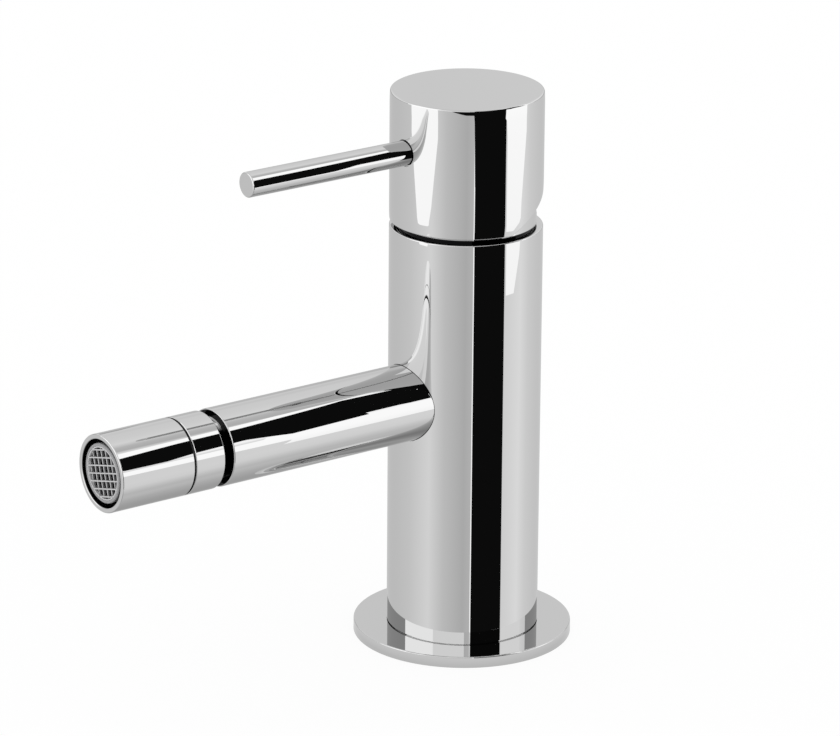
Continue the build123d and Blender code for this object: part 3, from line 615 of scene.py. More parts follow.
def add_node(tree, kind, inputs=(), **settings):
    """A node with its settings, and a value for or a link to each named input."""
    node = tree.nodes.new(kind)
    for key, value in settings.items():
        setattr(node, key, value)
    for key, value in dict(inputs).items():
        if isinstance(value, bpy.types.NodeSocket):
            tree.links.new(value, node.inputs[key])
        else:
            node.inputs[key].default_value = value
    return node


def number_step(tree, operation, *values):
    """What a Math node makes of numbers."""
    node = add_node(tree, "ShaderNodeMath", dict(enumerate(values)), operation=operation)
    return node.outputs[0]


def vector_step(tree, operation, *values):
    """The outputs of a Vector Math node: its vector, and its value under that name."""
    node = add_node(tree, "ShaderNodeVectorMath", dict(enumerate(values)), operation=operation)
    return node.outputs


def spread(tree, value, low, high, to_low=0.0, to_high=1.0):
    """A value's place between two limits, carried over to two others."""
    ends = {"From Min": low, "From Max": high, "To Min": to_low, "To Max": to_high}
    return add_node(tree, "ShaderNodeMapRange", {"Value": value, **ends}).outputs["Result"]


def mixed_shader(tree, share, first, second):
    """The second shader where the share is 1, and the first where it is 0."""
    return add_node(tree, "ShaderNodeMixShader", {0: share, 1: first, 2: second}).outputs["Shader"]


def effect_group(name, inputs, output, kind="NodeSocketFloat"):
    """A node group with its sockets, what it is given, and the object's coordinates in it."""
    group = bpy.data.node_groups.new(name, "ShaderNodeTree")
    for label, default in inputs.items():
        given_kind = "NodeSocketVector" if isinstance(default, tuple) else "NodeSocketFloat"
        socket = group.interface.new_socket(label, in_out="INPUT", socket_type=given_kind)
        socket.default_value = default
    group.interface.new_socket(output, in_out="OUTPUT", socket_type=kind)
    given = add_node(group, "NodeGroupInput")
    place = add_node(group, "ShaderNodeTexCoord")
    return group, given.outputs, place.outputs["Object"]


def add_noise(tree, place, scale, detail):
    """Soft noise over a place."""
    inputs = {"Vector": place, "Scale": scale, "Detail": detail}
    return add_node(tree, "ShaderNodeTexNoise", inputs).outputs["Fac"]


def patchy_group(name):
    """Slow noise between two values, for a finish that isn't even."""
    group, given, place = effect_group(name, {"Scale": 40.0, "Low": 0.0, "High": 1.0}, "Value")
    noise = add_noise(group, place, given["Scale"], PATCH_DETAIL)
    value = spread(group, noise, *PATCH_ENDS, given["Low"], given["High"])
    add_node(group, "NodeGroupOutput", {"Value": value})
    return group


def waves_group(name):
    """Slow waves in a surface, as a normal."""
    inputs = {"Scale": 30.0, "Height": 0.02}
    group, given, place = effect_group(name, inputs, "Normal", "NodeSocketVector")
    noise = add_noise(group, place, given["Scale"], WAVE_DETAIL)
    bump = {"Height": noise, "Distance": MM, "Strength": given["Height"]}
    normal = add_node(group, "ShaderNodeBump", bump).outputs["Normal"]
    add_node(group, "NodeGroupOutput", {"Normal": normal})
    return group


def nearness_group(name):
    """A mask of what lies near a centre, when each axis counts by its weight."""
    axes = {"Centre": (0.0, 0.0, 0.0), "Weights": (1.0, 0.0, 1.0)}
    lengths = {"Radius": 0.01, "Softness": 0.0001}
    group, given, place = effect_group(name, {**axes, **lengths}, "Mask")
    offset = vector_step(group, "SUBTRACT", place, given["Centre"])[0]
    weighted = vector_step(group, "MULTIPLY", offset, given["Weights"])[0]
    away = vector_step(group, "LENGTH", weighted)["Value"]
    inside = number_step(group, "SUBTRACT", given["Radius"], away)
    mask = spread(group, inside, 0.0, given["Softness"])
    add_node(group, "NodeGroupOutput", {"Mask": mask})
    return group


EFFECTS = {
    "Patchy value": patchy_group,
    "Slow waves": waves_group,
    "Nearness mask": nearness_group,
}


def add_effect(tree, name, values):
    """A shared effect with its own values. Its group is made when it is first asked for."""
    group = bpy.data.node_groups.get(name) or EFFECTS[name](name)
    return add_node(tree, "ShaderNodeGroup", values, node_tree=group)


def new_material(name):
    """A material with nodes, and its tree."""
    material = bpy.data.materials.new(name)
    material.use_nodes = True
    return material, material.node_tree


Finish = namedtuple("Finish", "colour metallic rough_low rough_high scale wave_scale wave_height")
FINISHES = {
    "polished_chrome": Finish(None, 1.0, 0.002, 0.006, 60.0, 25.0, 0.005),
    "brass": Finish((0.72, 0.5, 0.22), 1.0, 0.22, 0.4, 120.0, 300.0, 0.1),
    "stainless_steel": Finish((0.62, 0.61, 0.59), 1.0, 0.15, 0.3, 120.0, 300.0, 0.1),
    "black_rubber": Finish((0.012, 0.012, 0.013), 0.0, 0.5, 0.7, 150.0, 400.0, 0.3),
    "ceramic": Finish((0.75, 0.73, 0.68), 0.0, 0.15, 0.25, 80.0, 300.0, 0.05),
    "dark_plastic": Finish((0.02, 0.02, 0.022), 0.0, 0.3, 0.45, 100.0, 300.0, 0.1),
    "pale_plastic": Finish(None, 0.0, 0.3, 0.45, 100.0, 300.0, 0.1),
    "grid_plastic": Finish(None, 0.0, 0.3, 0.45, 100.0, 300.0, 0.1),
    "white_plastic": Finish((0.75, 0.75, 0.74), 0.0, 0.3, 0.45, 100.0, 300.0, 0.1),
}


def make_material(name, slot, looks):
    """A Principled material: plain numbers on its sockets, patchy roughness and slow waves."""
    finish = FINISHES[slot]
    chosen = {
        "polished_chrome": looks.chrome_colour,
        "pale_plastic": looks.frame_colour,
        "grid_plastic": looks.grid_colour,
    }
    material, tree = new_material(name)
    shader = tree.nodes["Principled BSDF"]
    shader.inputs["Base Color"].default_value = (*chosen.get(slot, finish.colour), 1)
    shader.inputs["Metallic"].default_value = finish.metallic
    patches = {"Scale": finish.scale, "Low": finish.rough_low, "High": finish.rough_high}
    rough = add_effect(tree, "Patchy value", patches)
    tree.links.new(rough.outputs["Value"], shader.inputs["Roughness"])
    waves = {"Scale": finish.wave_scale, "Height": finish.wave_height}
    wavy = add_effect(tree, "Slow waves", waves)
    tree.links.new(wavy.outputs["Normal"], shader.inputs["Normal"])
    return material


def material_of(slot, looks):
    """The material of a slot, made when it is first asked for."""
    name = slot + "_finish"
    return bpy.data.materials.get(name) or make_material(name, slot, looks)


def with_painted_shade(name, slot, looks, colour, centre, weights, radius, softness=MASK_SOFTNESS):
    """A slot's material with a colour of painted shade within a radius in mm of a centre, as a mask weighs
    it.
    """
    material = make_material(name, slot, looks)
    tree = material.node_tree
    base = tree.nodes["Principled BSDF"].inputs["Base Color"]
    place = {"Centre": [part * MM for part in centre], "Weights": weights}
    lengths = {"Radius": radius * MM, "Softness": softness * MM}
    near = add_effect(tree, "Nearness mask", {**place, **lengths})
    mix = add_node(tree, "ShaderNodeMix", {MIX_SHARE: near.outputs["Mask"]}, data_type="RGBA")
    mix.inputs[MIX_FIRST].default_value = base.default_value
    mix.inputs[MIX_SECOND].default_value = (*colour, 1)
    tree.links.new(mix.outputs[MIX_RESULT], base)
    return material


def bore_painted_shade(name, slot, looks, radius):
    """A slot's material with painted shade nearer to the spout's axis than a radius."""
    centre = (0, 0, read_sizes().spout_height)
    return with_painted_shade(name, slot, looks, PAINTED_GAP_SHADE, centre, (1, 0, 1), radius)


def cover_painted_shade(looks):
    """The cover's chrome, with painted shade at its foot, which lies in the gap under the cap."""
    foot = (0, 0, read_sizes().top)
    return with_painted_shade(
        "cover_painted_shade", "polished_chrome", looks, PAINTED_GAP_SHADE, foot, (0, 0, 1), COVER_PAINTED_SHADE_FOOT
    )


def ball_painted_shade(looks):
    """The ball stem's chrome with painted shade, but for its top and bottom, which the light reaches."""
    centre = (0, 0, read_sizes().spout_height)
    return with_painted_shade(
        "ball_painted_shade",
        "polished_chrome",
        looks,
        PAINTED_GAP_SHADE,
        centre,
        (0, 0, 1),
        BALL_PAINTED_SHADE_HALF,
        BALL_PAINTED_SHADE_SOFTNESS,
    )


def tube_painted_shade(looks):
    """The spout tube's chrome, with painted shade inside."""
    radius = read_sizes().spout_radius - BRIGHT_RIM
    return bore_painted_shade("tube_painted_shade", "polished_chrome", looks, radius)


def sleeve_painted_shade(looks):
    """The sleeve's chrome, with painted shade inside the mouth."""
    return bore_painted_shade("sleeve_painted_shade", "polished_chrome", looks, MOUTH_RADIUS + MASK_SOFTNESS)


def cage_painted_shade(looks):
    """The cage's pale plastic, with painted shade inside its frame."""
    return bore_painted_shade("cage_painted_shade", "pale_plastic", looks, GRID_RADIUS - MASK_SOFTNESS)


def grid_painted_shade(looks):
    """The grid's pale plastic, with painted shade on the rear bars, which lie deeper in the mouth."""
    sizes = read_sizes()
    rear = (0, CAGE_BELOW_MOUTH + BAR_THICKNESS * 1.5 - sizes.mouth, 0)
    return with_painted_shade(
        "grid_painted_shade", "grid_plastic", looks, REAR_BAR_PAINTED_SHADE, rear, (0, 1, 0), BAR_THICKNESS / 2
    )


# Pieces

SMALL_COARSER = 4
LEVER_COARSER = 2
BEND_RINGS = 13
BALL_RINGS = 33
BAR_EDGE_STEPS = 3


def waterway(skin, angles, sizes):
    """The bent bore: rings at right angles to a line that runs along +Y, bends up and rises."""
    bend_start = OUTLET_PLACE - WATERWAY_BEND
    floor = sizes.top - CARTRIDGE_DEPTH
    turns = np.radians(np.linspace(0, 90, BEND_RINGS))
    narrowing = np.linspace(WATERWAY_RADIUS, OUTLET_RADIUS, BEND_RINGS)
    depth = [-ROOT_FLOOR, *(bend_start + WATERWAY_BEND * np.sin(turns)), OUTLET_PLACE]
    height = [0, *(WATERWAY_BEND * (1 - np.cos(turns))), floor - sizes.spout_height]
    lean = [0, *turns, pi / 2]
    radii = [WATERWAY_RADIUS, *narrowing, OUTLET_RADIUS]
    rings = []
    facings = []
    for y, z, angle, radius in zip(depth, height, lean, radii):
        up = np.array([0, -sin(angle), cos(angle)])
        centre = np.array([0, y, sizes.spout_height + z])
        axle = Axle(centre, np.zeros(3), np.array([1.0, 0, 0]), up)
        rings.append(ring_of(axle, radius, 0, angles))
        facings.append(-spokes(axle, angles))
    skin.patch(np.array(rings), np.array(facings))
    return rings[-1]


def body_skin(looks):
    """The turned and drilled column."""
    sizes = read_sizes()
    skin = Skin()
    around = full_turn(looks.ring_steps)
    small = full_turn(looks.ring_steps // SMALL_COARSER)
    shoulder = sizes.shoulder
    floor = sizes.top - CARTRIDGE_DEPTH
    groove_ends = (shoulder / 2 - SPIGOT_GROOVE_HALF, shoulder / 2 + SPIGOT_GROOVE_HALF)
    foot_radius = sizes.radius - FOOT_GROOVE_DEPTH
    wall_bottom = shoulder + FOOT_GROOVE_HEIGHT
    foot = outline(
        [
            (SPIGOT_RADIUS, 0),
            *groove(SPIGOT_RADIUS, SPIGOT_GROOVE_FLOOR, *groove_ends),
            (SPIGOT_RADIUS, shoulder),
            (foot_radius, shoulder),
            (foot_radius, wall_bottom),
            (sizes.radius, wall_bottom),
        ],
        closed=False,
    )
    wall_top, rim_inner, top_edge = soft_top_edge(
        sizes.radius, sizes.top, SMALL_ROUND, looks.body_roll, looks
    )
    bores = outline(
        [
            (rim_inner, sizes.top),
            (COVER_RECESS_RADIUS, sizes.top),
            (COVER_RECESS_RADIUS, sizes.top - COVER_RECESS_DEPTH),
            (NUT_BORE_RADIUS, sizes.top - COVER_RECESS_DEPTH),
            (NUT_BORE_RADIUS, sizes.top - NUT_BORE_DEPTH),
            (CARTRIDGE_RADIUS, sizes.top - NUT_BORE_DEPTH),
            (CARTRIDGE_RADIUS, floor),
        ],
        closed=False,
    )
    skin.turn(foot + top_edge + bores, UPRIGHT, around)
    stations = (
        (sizes.spout_radius + SOCKET_GAP, SOCKET_FLOOR),
        (ROOT_RADIUS, SOCKET_FLOOR),
        (ROOT_RADIUS, ROOT_FLOOR),
        (WATERWAY_RADIUS, ROOT_FLOOR),
    )
    axle = pointing_front(sizes.spout_height)
    rim_angles = bored_wall(skin, sizes.radius, wall_bottom, wall_top, axle, stations, looks)
    outlet = waterway(skin, rim_angles, sizes)

    bottom_rings = [ring_of(UPRIGHT, SPIGOT_RADIUS, 0, around)]
    floor_rings = [ring_of(UPRIGHT, CARTRIDGE_RADIUS, floor, around), outlet]
    for inlet, port in zip(INLET_PLACES, PORT_PLACES):
        mouth, inlet_end = threaded_hole(skin, inlet, INLET_RADIUS, small)
        port_low, port_high = upright_bore(skin, port, PORT_RADIUS, THREAD_DEPTH, floor, small)
        skin.fill([inlet_end, port_low], -UPRIGHT.along)
        bottom_rings.append(mouth)
        floor_rings.append(port_high)
    mouth, stud_end = threaded_hole(skin, STUD_PLACE, STUD_RADIUS, small)
    skin.fill([stud_end], -UPRIGHT.along)
    bottom_rings.append(mouth)
    for side in (-1, 1):
        peg = (side * PEG_CIRCLE * cos(PEG_ANGLE), PEG_CIRCLE * sin(PEG_ANGLE))
        low, high = upright_bore(skin, peg, PEG_RADIUS, floor - PEG_DEPTH, floor, small)
        skin.fill([low], UPRIGHT.along)
        floor_rings.append(high)
    skin.fill(bottom_rings, -UPRIGHT.along)
    skin.fill(floor_rings, UPRIGHT.along)
    return skin


def flange_skin(looks):
    """The round flange, with a groove under it for its seal."""
    sizes = read_sizes()
    groove_inner = SEAL_INNER - SEAT_GAP
    groove_outer = SEAL_OUTER + SEAT_GAP
    runs = outline(
        [
            (FLANGE_HOLE_RADIUS, 0),
            (groove_inner, 0),
            (groove_inner, SEAL_THICKNESS),
            (groove_outer, SEAL_THICKNESS),
            (groove_outer, 0),
            (sizes.flange, 0),
            (sizes.flange, sizes.shoulder, FLANGE_ROUND),
            (FLANGE_HOLE_RADIUS, sizes.shoulder),
        ],
        looks.edge_steps,
    )
    return turned(runs, UPRIGHT, looks)


def seal_skin(looks):
    """The flat ring seal under the flange."""
    corners = [
        (SEAL_INNER, 0, SEAL_ROUND),
        (SEAL_OUTER, 0, SEAL_ROUND),
        (SEAL_OUTER, SEAL_THICKNESS, SEAL_ROUND),
        (SEAL_INNER, SEAL_THICKNESS, SEAL_ROUND),
    ]
    return turned(outline(corners), UPRIGHT, looks)


def tube_skin(looks):
    """The straight spout tube with its root, its bore and the recess for the ball stem."""
    sizes = read_sizes()
    end = sizes.spout_end
    root = ROOT_RADIUS - SEAT_GAP
    runs = outline(
        [
            (TUBE_BORE, ROOT_FLOOR + SEAT_GAP),
            (root, ROOT_FLOOR + SEAT_GAP),
            *groove(root, ROOT_GROOVE_FLOOR, *ROOT_GROOVE),
            (root, SOCKET_FLOOR + SEAT_GAP),
            (sizes.spout_radius, SOCKET_FLOOR + SEAT_GAP),
            (sizes.spout_radius, end, SMALL_ROUND),
            (COLLAR_RECESS_RADIUS, end),
            (COLLAR_RECESS_RADIUS, end - COLLAR_RECESS_DEPTH),
            (TAIL_BORE, end - COLLAR_RECESS_DEPTH),
            (TAIL_BORE, end - TAIL_DEPTH),
            (TUBE_BORE, end - TAIL_DEPTH),
        ],
        looks.edge_steps,
    )
    return turned(runs, pointing_front(sizes.spout_height), looks)


def ball_stem_skin(looks):
    """The hollow stem with its ball, whose front has a six-sided socket for a key.

    The socket's radius at an angle is the half flats over the cosine of the angle from the nearest
    flat's middle, and the ball ends where it meets the socket.
    """
    sizes = read_sizes()
    axle = pointing_front(sizes.spout_height)
    around = full_turn(looks.ring_steps)
    ball = sizes.ball
    neck_angle = asin(NECK_RADIUS / BALL_RADIUS)
    groove_rear, groove_front = STEM_GROOVE
    skin = Skin()
    runs = outline(
        [
            (STEM_BORE, ball - STEM_REAR),
            (STEM_RADIUS, ball - STEM_REAR),
            (STEM_RADIUS, ball - groove_rear),
            (STEM_GROOVE_FLOOR, ball - groove_rear),
            (STEM_GROOVE_FLOOR, ball - groove_front),
            (COLLAR_RADIUS, ball - groove_front),
            (COLLAR_RADIUS, ball - COLLAR_FRONT),
            (NECK_RADIUS, ball - COLLAR_FRONT),
            (NECK_RADIUS, ball - BALL_RADIUS * cos(neck_angle)),
        ],
        closed=False,
    )
    face = sqrt(BALL_RADIUS**2 - BALL_FACE_RADIUS**2)
    key_floor = ball + face - KEY_DEPTH
    bore = [straight((STEM_BORE, key_floor), (STEM_BORE, ball - STEM_REAR))]
    skin.turn(runs + bore, axle, around)

    flat = (around + pi / 6) % (pi / 3) - pi / 6
    key_radius = KEY_HALF_FLATS / np.cos(flat)
    end_angle = np.arcsin(key_radius / BALL_RADIUS)
    part = np.linspace(0, 1, BALL_RINGS)[:, None]
    from_front = (pi - neck_angle) * (1 - part) + end_angle * part
    across = np.sin(from_front)[..., None] * spokes(axle, around)
    facing = across + np.cos(from_front)[..., None] * axle.along
    centre = axle.origin + axle.along * ball
    skin.patch(centre + facing * BALL_RADIUS, facing)

    edge = centre + facing[-1] * BALL_RADIUS
    side = edge.copy()
    side[:, 1] = -key_floor
    skin.bridge(edge, side, -spokes(axle, around - flat))
    skin.bridge(side, ring_of(axle, STEM_BORE, key_floor, around), axle.along)
    return skin


def swivel_ring_skin(looks):
    """The ring behind the ball, with a ball-shaped seat at its rear."""
    sizes = read_sizes()
    ball, rear, seam = sizes.ball, sizes.ring_rear, sizes.seam
    outer = sizes.spout_radius
    lip_angle = -asin(BALL_BEHIND_RING / RING_BORE)
    lip = RING_BORE * cos(lip_angle)
    runs = outline(
        [
            (lip, rear),
            (outer, rear, SMALL_ROUND),
            (outer, seam - SEAM_EDGE),
            (outer - SEAM_EDGE, seam),
            (RING_THREAD, seam),
            (RING_THREAD, seam - RING_THREAD_LENGTH),
            (RING_BORE, seam - RING_THREAD_LENGTH),
            (RING_BORE, ball),
        ],
        looks.edge_steps,
        closed=False,
    )
    seat = arc((0, ball), RING_BORE, 0, lip_angle, looks.edge_steps)
    return turned(runs + [seat], pointing_front(sizes.spout_height), looks)


def sleeve_skin(looks):
    """The aerator sleeve, with a ball-shaped pocket at its rear and a wide mouth."""
    sizes = read_sizes()
    ball = sizes.ball
    outer = sizes.spout_radius
    pocket_rear = POCKET_SPHERE * sin(POCKET_REAR)
    pocket_front = POCKET_SPHERE * sin(POCKET_FRONT)
    front_station = ball + POCKET_SPHERE * cos(POCKET_FRONT)
    spigot_start = sizes.seam - RING_THREAD_LENGTH + SEAT_GAP * 2
    spigot_radius = RING_THREAD - SEAT_GAP
    runs = outline(
        [
            (pocket_rear, spigot_start),
            (spigot_radius, spigot_start),
            (spigot_radius, sizes.seam),
            (outer - SEAM_GROOVE_DEPTH, sizes.seam),
            (outer - SEAM_GROOVE_DEPTH, sizes.seam + SEAM_GROOVE_WIDTH),
            (outer - SEAM_EDGE, sizes.seam + SEAM_GROOVE_WIDTH),
            (outer, sizes.seam + SEAM_GROOVE_WIDTH + SEAM_EDGE),
            (outer, sizes.mouth, SMALL_ROUND),
            (MOUTH_RADIUS, sizes.mouth, SMALL_ROUND),
            (MOUTH_RADIUS, ball + MOUTH_BORE_START),
            (SLEEVE_THREAD, ball + MOUTH_BORE_START),
            (SLEEVE_THREAD, ball + WEB_END),
            (THROAT_RADIUS, ball + WEB_END),
            (THROAT_RADIUS, front_station),
            (pocket_front, front_station),
        ],
        looks.edge_steps,
        closed=False,
    )
    pocket = arc((0, ball), POCKET_SPHERE, pi / 2 - POCKET_FRONT, pi / 2 - POCKET_REAR, looks.edge_steps)
    last = straight((pocket_rear, ball + POCKET_SPHERE * cos(POCKET_REAR)), (pocket_rear, spigot_start))
    return turned(runs + [pocket, last], pointing_front(sizes.spout_height), looks)


def cage_skin(looks):
    """The aerator's threaded cage with the thin frame that shows in the mouth."""
    sizes = read_sizes()
    rear = sizes.ball + CAGE_REAR
    front = sizes.mouth - CAGE_BELOW_MOUTH
    runs = outline(
        [
            (CAGE_REAR_RADIUS, rear),
            (CAGE_THREAD, rear),
            (CAGE_THREAD, rear + CAGE_THREAD_LENGTH),
            (FRAME_RADIUS, rear + CAGE_THREAD_LENGTH),
            (FRAME_RADIUS, front - FRAME_CHAMFER),
            (FRAME_RADIUS - FRAME_CHAMFER, front),
            (GRID_RADIUS, front),
            (GRID_RADIUS, front - GRID_DEPTH),
            (CAGE_BORE, front - GRID_DEPTH),
            (CAGE_BORE, rear + CAGE_REAR_DEPTH),
            (CAGE_REAR_RADIUS, rear + CAGE_REAR_DEPTH),
        ],
        looks.edge_steps,
    )
    return turned(runs, pointing_front(sizes.spout_height), looks)


def bar(skin, centre, along, side, half_length, width):
    """A bar with rounded edges: its section, drawn to the side and to the front, swept along it."""
    front = np.array([0.0, -1, 0])
    half = width / 2
    corners = [
        (-half, -BAR_THICKNESS, BAR_ROUND),
        (half, -BAR_THICKNESS, BAR_ROUND),
        (half, 0, BAR_ROUND),
        (-half, 0, BAR_ROUND),
    ]
    ends = ([], [])
    for places, facing in outline(corners, BAR_EDGE_STEPS):
        section = centre + places[:, :1] * side + places[:, 1:] * front
        normal = facing[:, :1] * side + facing[:, 1:] * front
        rings = [section - along * half_length, section + along * half_length]
        skin.patch(np.array(rings), np.array([normal, normal]))
        for end, ring in zip(ends, rings):
            end.append(ring[:-1])
    for end, facing in zip(ends, (-along, along)):
        loop = np.concatenate(end)
        skin.fill([np.concatenate([loop, loop[:1]])], facing)


def grid_skin(looks):
    """The aerator's grid: two crossed layers of bars inside a thin rim."""
    sizes = read_sizes()
    front = sizes.mouth - CAGE_BELOW_MOUTH
    outer = GRID_RADIUS - SEAT_GAP
    inner = outer - GRID_RIM
    rear = front - BAR_THICKNESS * 2
    axle = pointing_front(sizes.spout_height)
    corners = [
        (inner, rear, BAR_ROUND),
        (outer, rear, BAR_ROUND),
        (outer, front, BAR_ROUND),
        (inner, front, BAR_ROUND),
    ]
    skin = turned(outline(corners, BAR_EDGE_STEPS), axle, looks)
    for layer, (width, turn) in enumerate(
        ((FRONT_BAR_WIDTH, GRID_TURN), (REAR_BAR_WIDTH, GRID_TURN + pi / 2))
    ):
        along = cos(turn) * axle.across + sin(turn) * axle.up
        side = cos(turn + pi / 2) * axle.across + sin(turn + pi / 2) * axle.up
        for place in range(-BARS_EACH_SIDE, BARS_EACH_SIDE + 1):
            offset = place * GRID_PITCH
            half_length = sqrt((outer - GRID_RIM / 2) ** 2 - offset**2)
            centre = axle.origin + axle.along * (front - BAR_THICKNESS * layer) + side * offset
            bar(skin, centre, along, side, half_length, width)
    return skin


def cover_skin(looks):
    """The domed cover between the body and the cap."""
    sizes = read_sizes()
    lip = sizes.top + COVER_LIP_GAP
    top = sizes.pivot + COVER_TOP_ABOVE_PIVOT
    neck_end = sizes.top - COVER_RECESS_DEPTH
    dome_start = acos(COVER_BASE_RADIUS / COVER_DOME_RADIUS)
    round_height = COVER_TOP_ABOVE_PIVOT - COVER_TOP_ROUND
    round_place = sqrt((COVER_DOME_RADIUS - COVER_TOP_ROUND) ** 2 - round_height**2)
    round_start = atan2(round_height, round_place)
    groove_low, groove_high = COVER_GROOVE
    outer = outline(
        [
            (COVER_NECK_RADIUS, neck_end),
            *groove(COVER_NECK_RADIUS, COVER_GROOVE_FLOOR, neck_end + groove_low, neck_end + groove_high),
            (COVER_NECK_RADIUS, lip),
            (COVER_BASE_RADIUS, lip),
            (COVER_BASE_RADIUS, sizes.pivot + COVER_DOME_RADIUS * sin(dome_start)),
        ],
        closed=False,
    )
    dome = arc((0, sizes.pivot), COVER_DOME_RADIUS, dome_start, round_start, looks.edge_steps * 2)
    top_round = arc(
        (round_place, top - COVER_TOP_ROUND), COVER_TOP_ROUND, round_start, pi / 2, looks.edge_steps
    )
    inner = outline(
        [
            (round_place, top),
            (COVER_OPENING, top),
            (COVER_OPENING, top - COVER_WALL),
            (COVER_INNER_RADIUS, top - COVER_WALL),
            (COVER_INNER_RADIUS, neck_end),
            (COVER_NECK_RADIUS, neck_end),
        ],
        closed=False,
    )
    return turned(outer + [dome, top_round] + inner, UPRIGHT, looks)


def cap_foot(skin, sizes, looks, around):
    """The cap's lower edge: level in front, and cut on a slope behind the axis.

    A small arc joins the lower face to the wall, and the wall then swells to its full radius along
    a long arc. The rings of the arcs are worked out at each angle round the cap.
    """
    spoke = spokes(UPRIGHT, around)
    behind = np.sin(around) > NO_LENGTH
    slope = np.where(behind, RELIEF_ANGLE, 0.0)
    under = np.stack([np.zeros_like(slope), np.sin(slope), -np.cos(slope)], 1)
    roll_radius, lean = roll_off(looks.roll_length, looks.cap_roll)
    wall_start = cos(lean) * spoke - sin(lean) * UPRIGHT.along
    edge_radius = sizes.radius - looks.cap_roll - CAP_BOTTOM_ROUND * cos(lean)
    centre = spoke * edge_radius
    centre[:, 2] = sizes.cap_bottom + centre[:, 1] * np.tan(slope) + CAP_BOTTOM_ROUND / np.cos(slope)
    part = np.linspace(0, 1, looks.edge_steps + 1)[:, None, None]
    facing = under * (1 - part) + wall_start * part
    facing /= np.linalg.norm(facing, axis=2, keepdims=True)
    skin.patch(centre + facing * CAP_BOTTOM_ROUND, facing)

    lowest = centre + wall_start * CAP_BOTTOM_ROUND
    angle = np.linspace(-lean, 0, looks.edge_steps * 2 + 1)[:, None, None]
    wall_height = lowest[:, 2] + looks.roll_length
    roll_centre = spoke * (sizes.radius - roll_radius)
    roll_centre[:, 2] = wall_height
    swelling = np.cos(angle) * spoke + np.sin(angle) * UPRIGHT.along
    skin.patch(roll_centre + swelling * roll_radius, swelling)
    wall_foot = spoke * sizes.radius
    wall_foot[:, 2] = wall_height
    wall_join = ring_of(UPRIGHT, sizes.radius, WALL_JOIN_HEIGHT, around)
    skin.bridge(wall_foot, wall_join, spoke)

    inner_foot = spoke * CAP_INNER_RADIUS
    inner_foot[:, 2] = sizes.cap_bottom + inner_foot[:, 1] * np.tan(slope)
    skin.bridge(inner_foot, centre + under * CAP_BOTTOM_ROUND, under)
    ceiling = ring_of(UPRIGHT, CAP_INNER_RADIUS, sizes.cap_top - CAP_CEILING_DEPTH, around)
    skin.bridge(inner_foot, ceiling, -spoke)


def cap_skin(looks):
    """The handle's cap: a round shell with a boss inside and a recess for the lever."""
    sizes = read_sizes()
    skin = Skin()
    around = full_turn(looks.ring_steps)
    ceiling = sizes.cap_top - CAP_CEILING_DEPTH
    boss_bottom = sizes.cap_bottom + BOSS_RISE
    socket_top = sizes.cap_bottom + STEM_SOCKET_RISE
    cap_foot(skin, sizes, looks, around)
    wall_top, rim_inner, top_edge = soft_top_edge(
        sizes.radius, sizes.cap_top, CAP_TOP_ROUND, looks.cap_roll, looks
    )
    top_face = straight((rim_inner, sizes.cap_top), (0, sizes.cap_top))
    inside = outline(
        [
            (0, socket_top),
            (STEM_SOCKET_RADIUS, socket_top),
            (STEM_SOCKET_RADIUS, boss_bottom),
            (BOSS_RADIUS, boss_bottom),
            (BOSS_RADIUS, ceiling),
            (CAP_INNER_RADIUS, ceiling),
        ],
        closed=False,
    )
    skin.turn(top_edge + [top_face] + inside, UPRIGHT, around)

    axle = pointing_front(sizes.lever_height)
    bore = LEVER_THREAD + SEAT_GAP
    stations = (
        (sizes.lever_radius + LEVER_GAP, LEVER_SEAT),
        (bore, LEVER_SEAT),
        (bore, LEVER_BORE_END),
        (0, LEVER_BORE_END),
    )
    bored_wall(skin, sizes.radius, WALL_JOIN_HEIGHT, wall_top, axle, stations, looks)

    small = full_turn(looks.ring_steps // SMALL_COARSER)
    root = rim_on_wall(axle, LEVER_BOSS_ROOT, LEVER_BOSS_RADIUS, small)
    boss_end = ring_of(axle, LEVER_BOSS_RADIUS, LEVER_SEAT - SEAT_GAP, small)
    skin.bridge(root, boss_end, spokes(axle, small))
    skin.bridge(boss_end, ring_of(axle, 0, LEVER_SEAT - SEAT_GAP, small), axle.along)
    skin.bridge(root, ring_of(axle, 0, LEVER_BOSS_ROOT, small), -axle.along)
    return skin


def lever_skin(looks):
    """The slim lever pin with its threaded tail."""
    sizes = read_sizes()
    runs = outline(
        [
            (0, LEVER_THREAD_END),
            (LEVER_THREAD, LEVER_THREAD_END),
            (LEVER_THREAD, LEVER_SEAT),
            (sizes.lever_radius, LEVER_SEAT),
            (sizes.lever_radius, sizes.lever_reach, LEVER_TIP_CHAMFER),
            (0, sizes.lever_reach),
        ],
        looks.edge_steps,
        closed=False,
    )
    return turned(runs, pointing_front(sizes.lever_height), looks, LEVER_COARSER)


# A piece's own finish, when it has one, is its slot's material with painted shade
Piece = namedtuple("Piece", "name maker body slot finish", defaults=(None,))


class PieceOperator:
    """What the operators of the pieces share: each piece stands for the CAD node of its name."""

    bl_options = {"REGISTER", "UNDO"}
    pieces = ()

    def execute(self, context):
        looks = context.scene.mixer_looks
        for piece in self.pieces:
            skin = piece.maker(looks)
            material = piece.finish(looks) if piece.finish else material_of(piece.slot, looks)
            add_piece(skin, piece.name + "_skin", piece.body, [piece.name], material)
        return {"FINISHED"}


class MIXER_OT_body(PieceOperator, bpy.types.Operator):
    """Adds the column"""

    bl_idname = "mixer.body"
    bl_label = "Body"
    pieces = (Piece("body", body_skin, "mixer_body", "polished_chrome"),)


class MIXER_OT_foot(PieceOperator, bpy.types.Operator):
    """Adds the flange and the seal under it"""

    bl_idname = "mixer.foot"
    bl_label = "Flange and seal"
    pieces = (
        Piece("base_flange", flange_skin, "mixer_body", "polished_chrome"),
        Piece("base_seal", seal_skin, "mixer_body", "black_rubber"),
    )


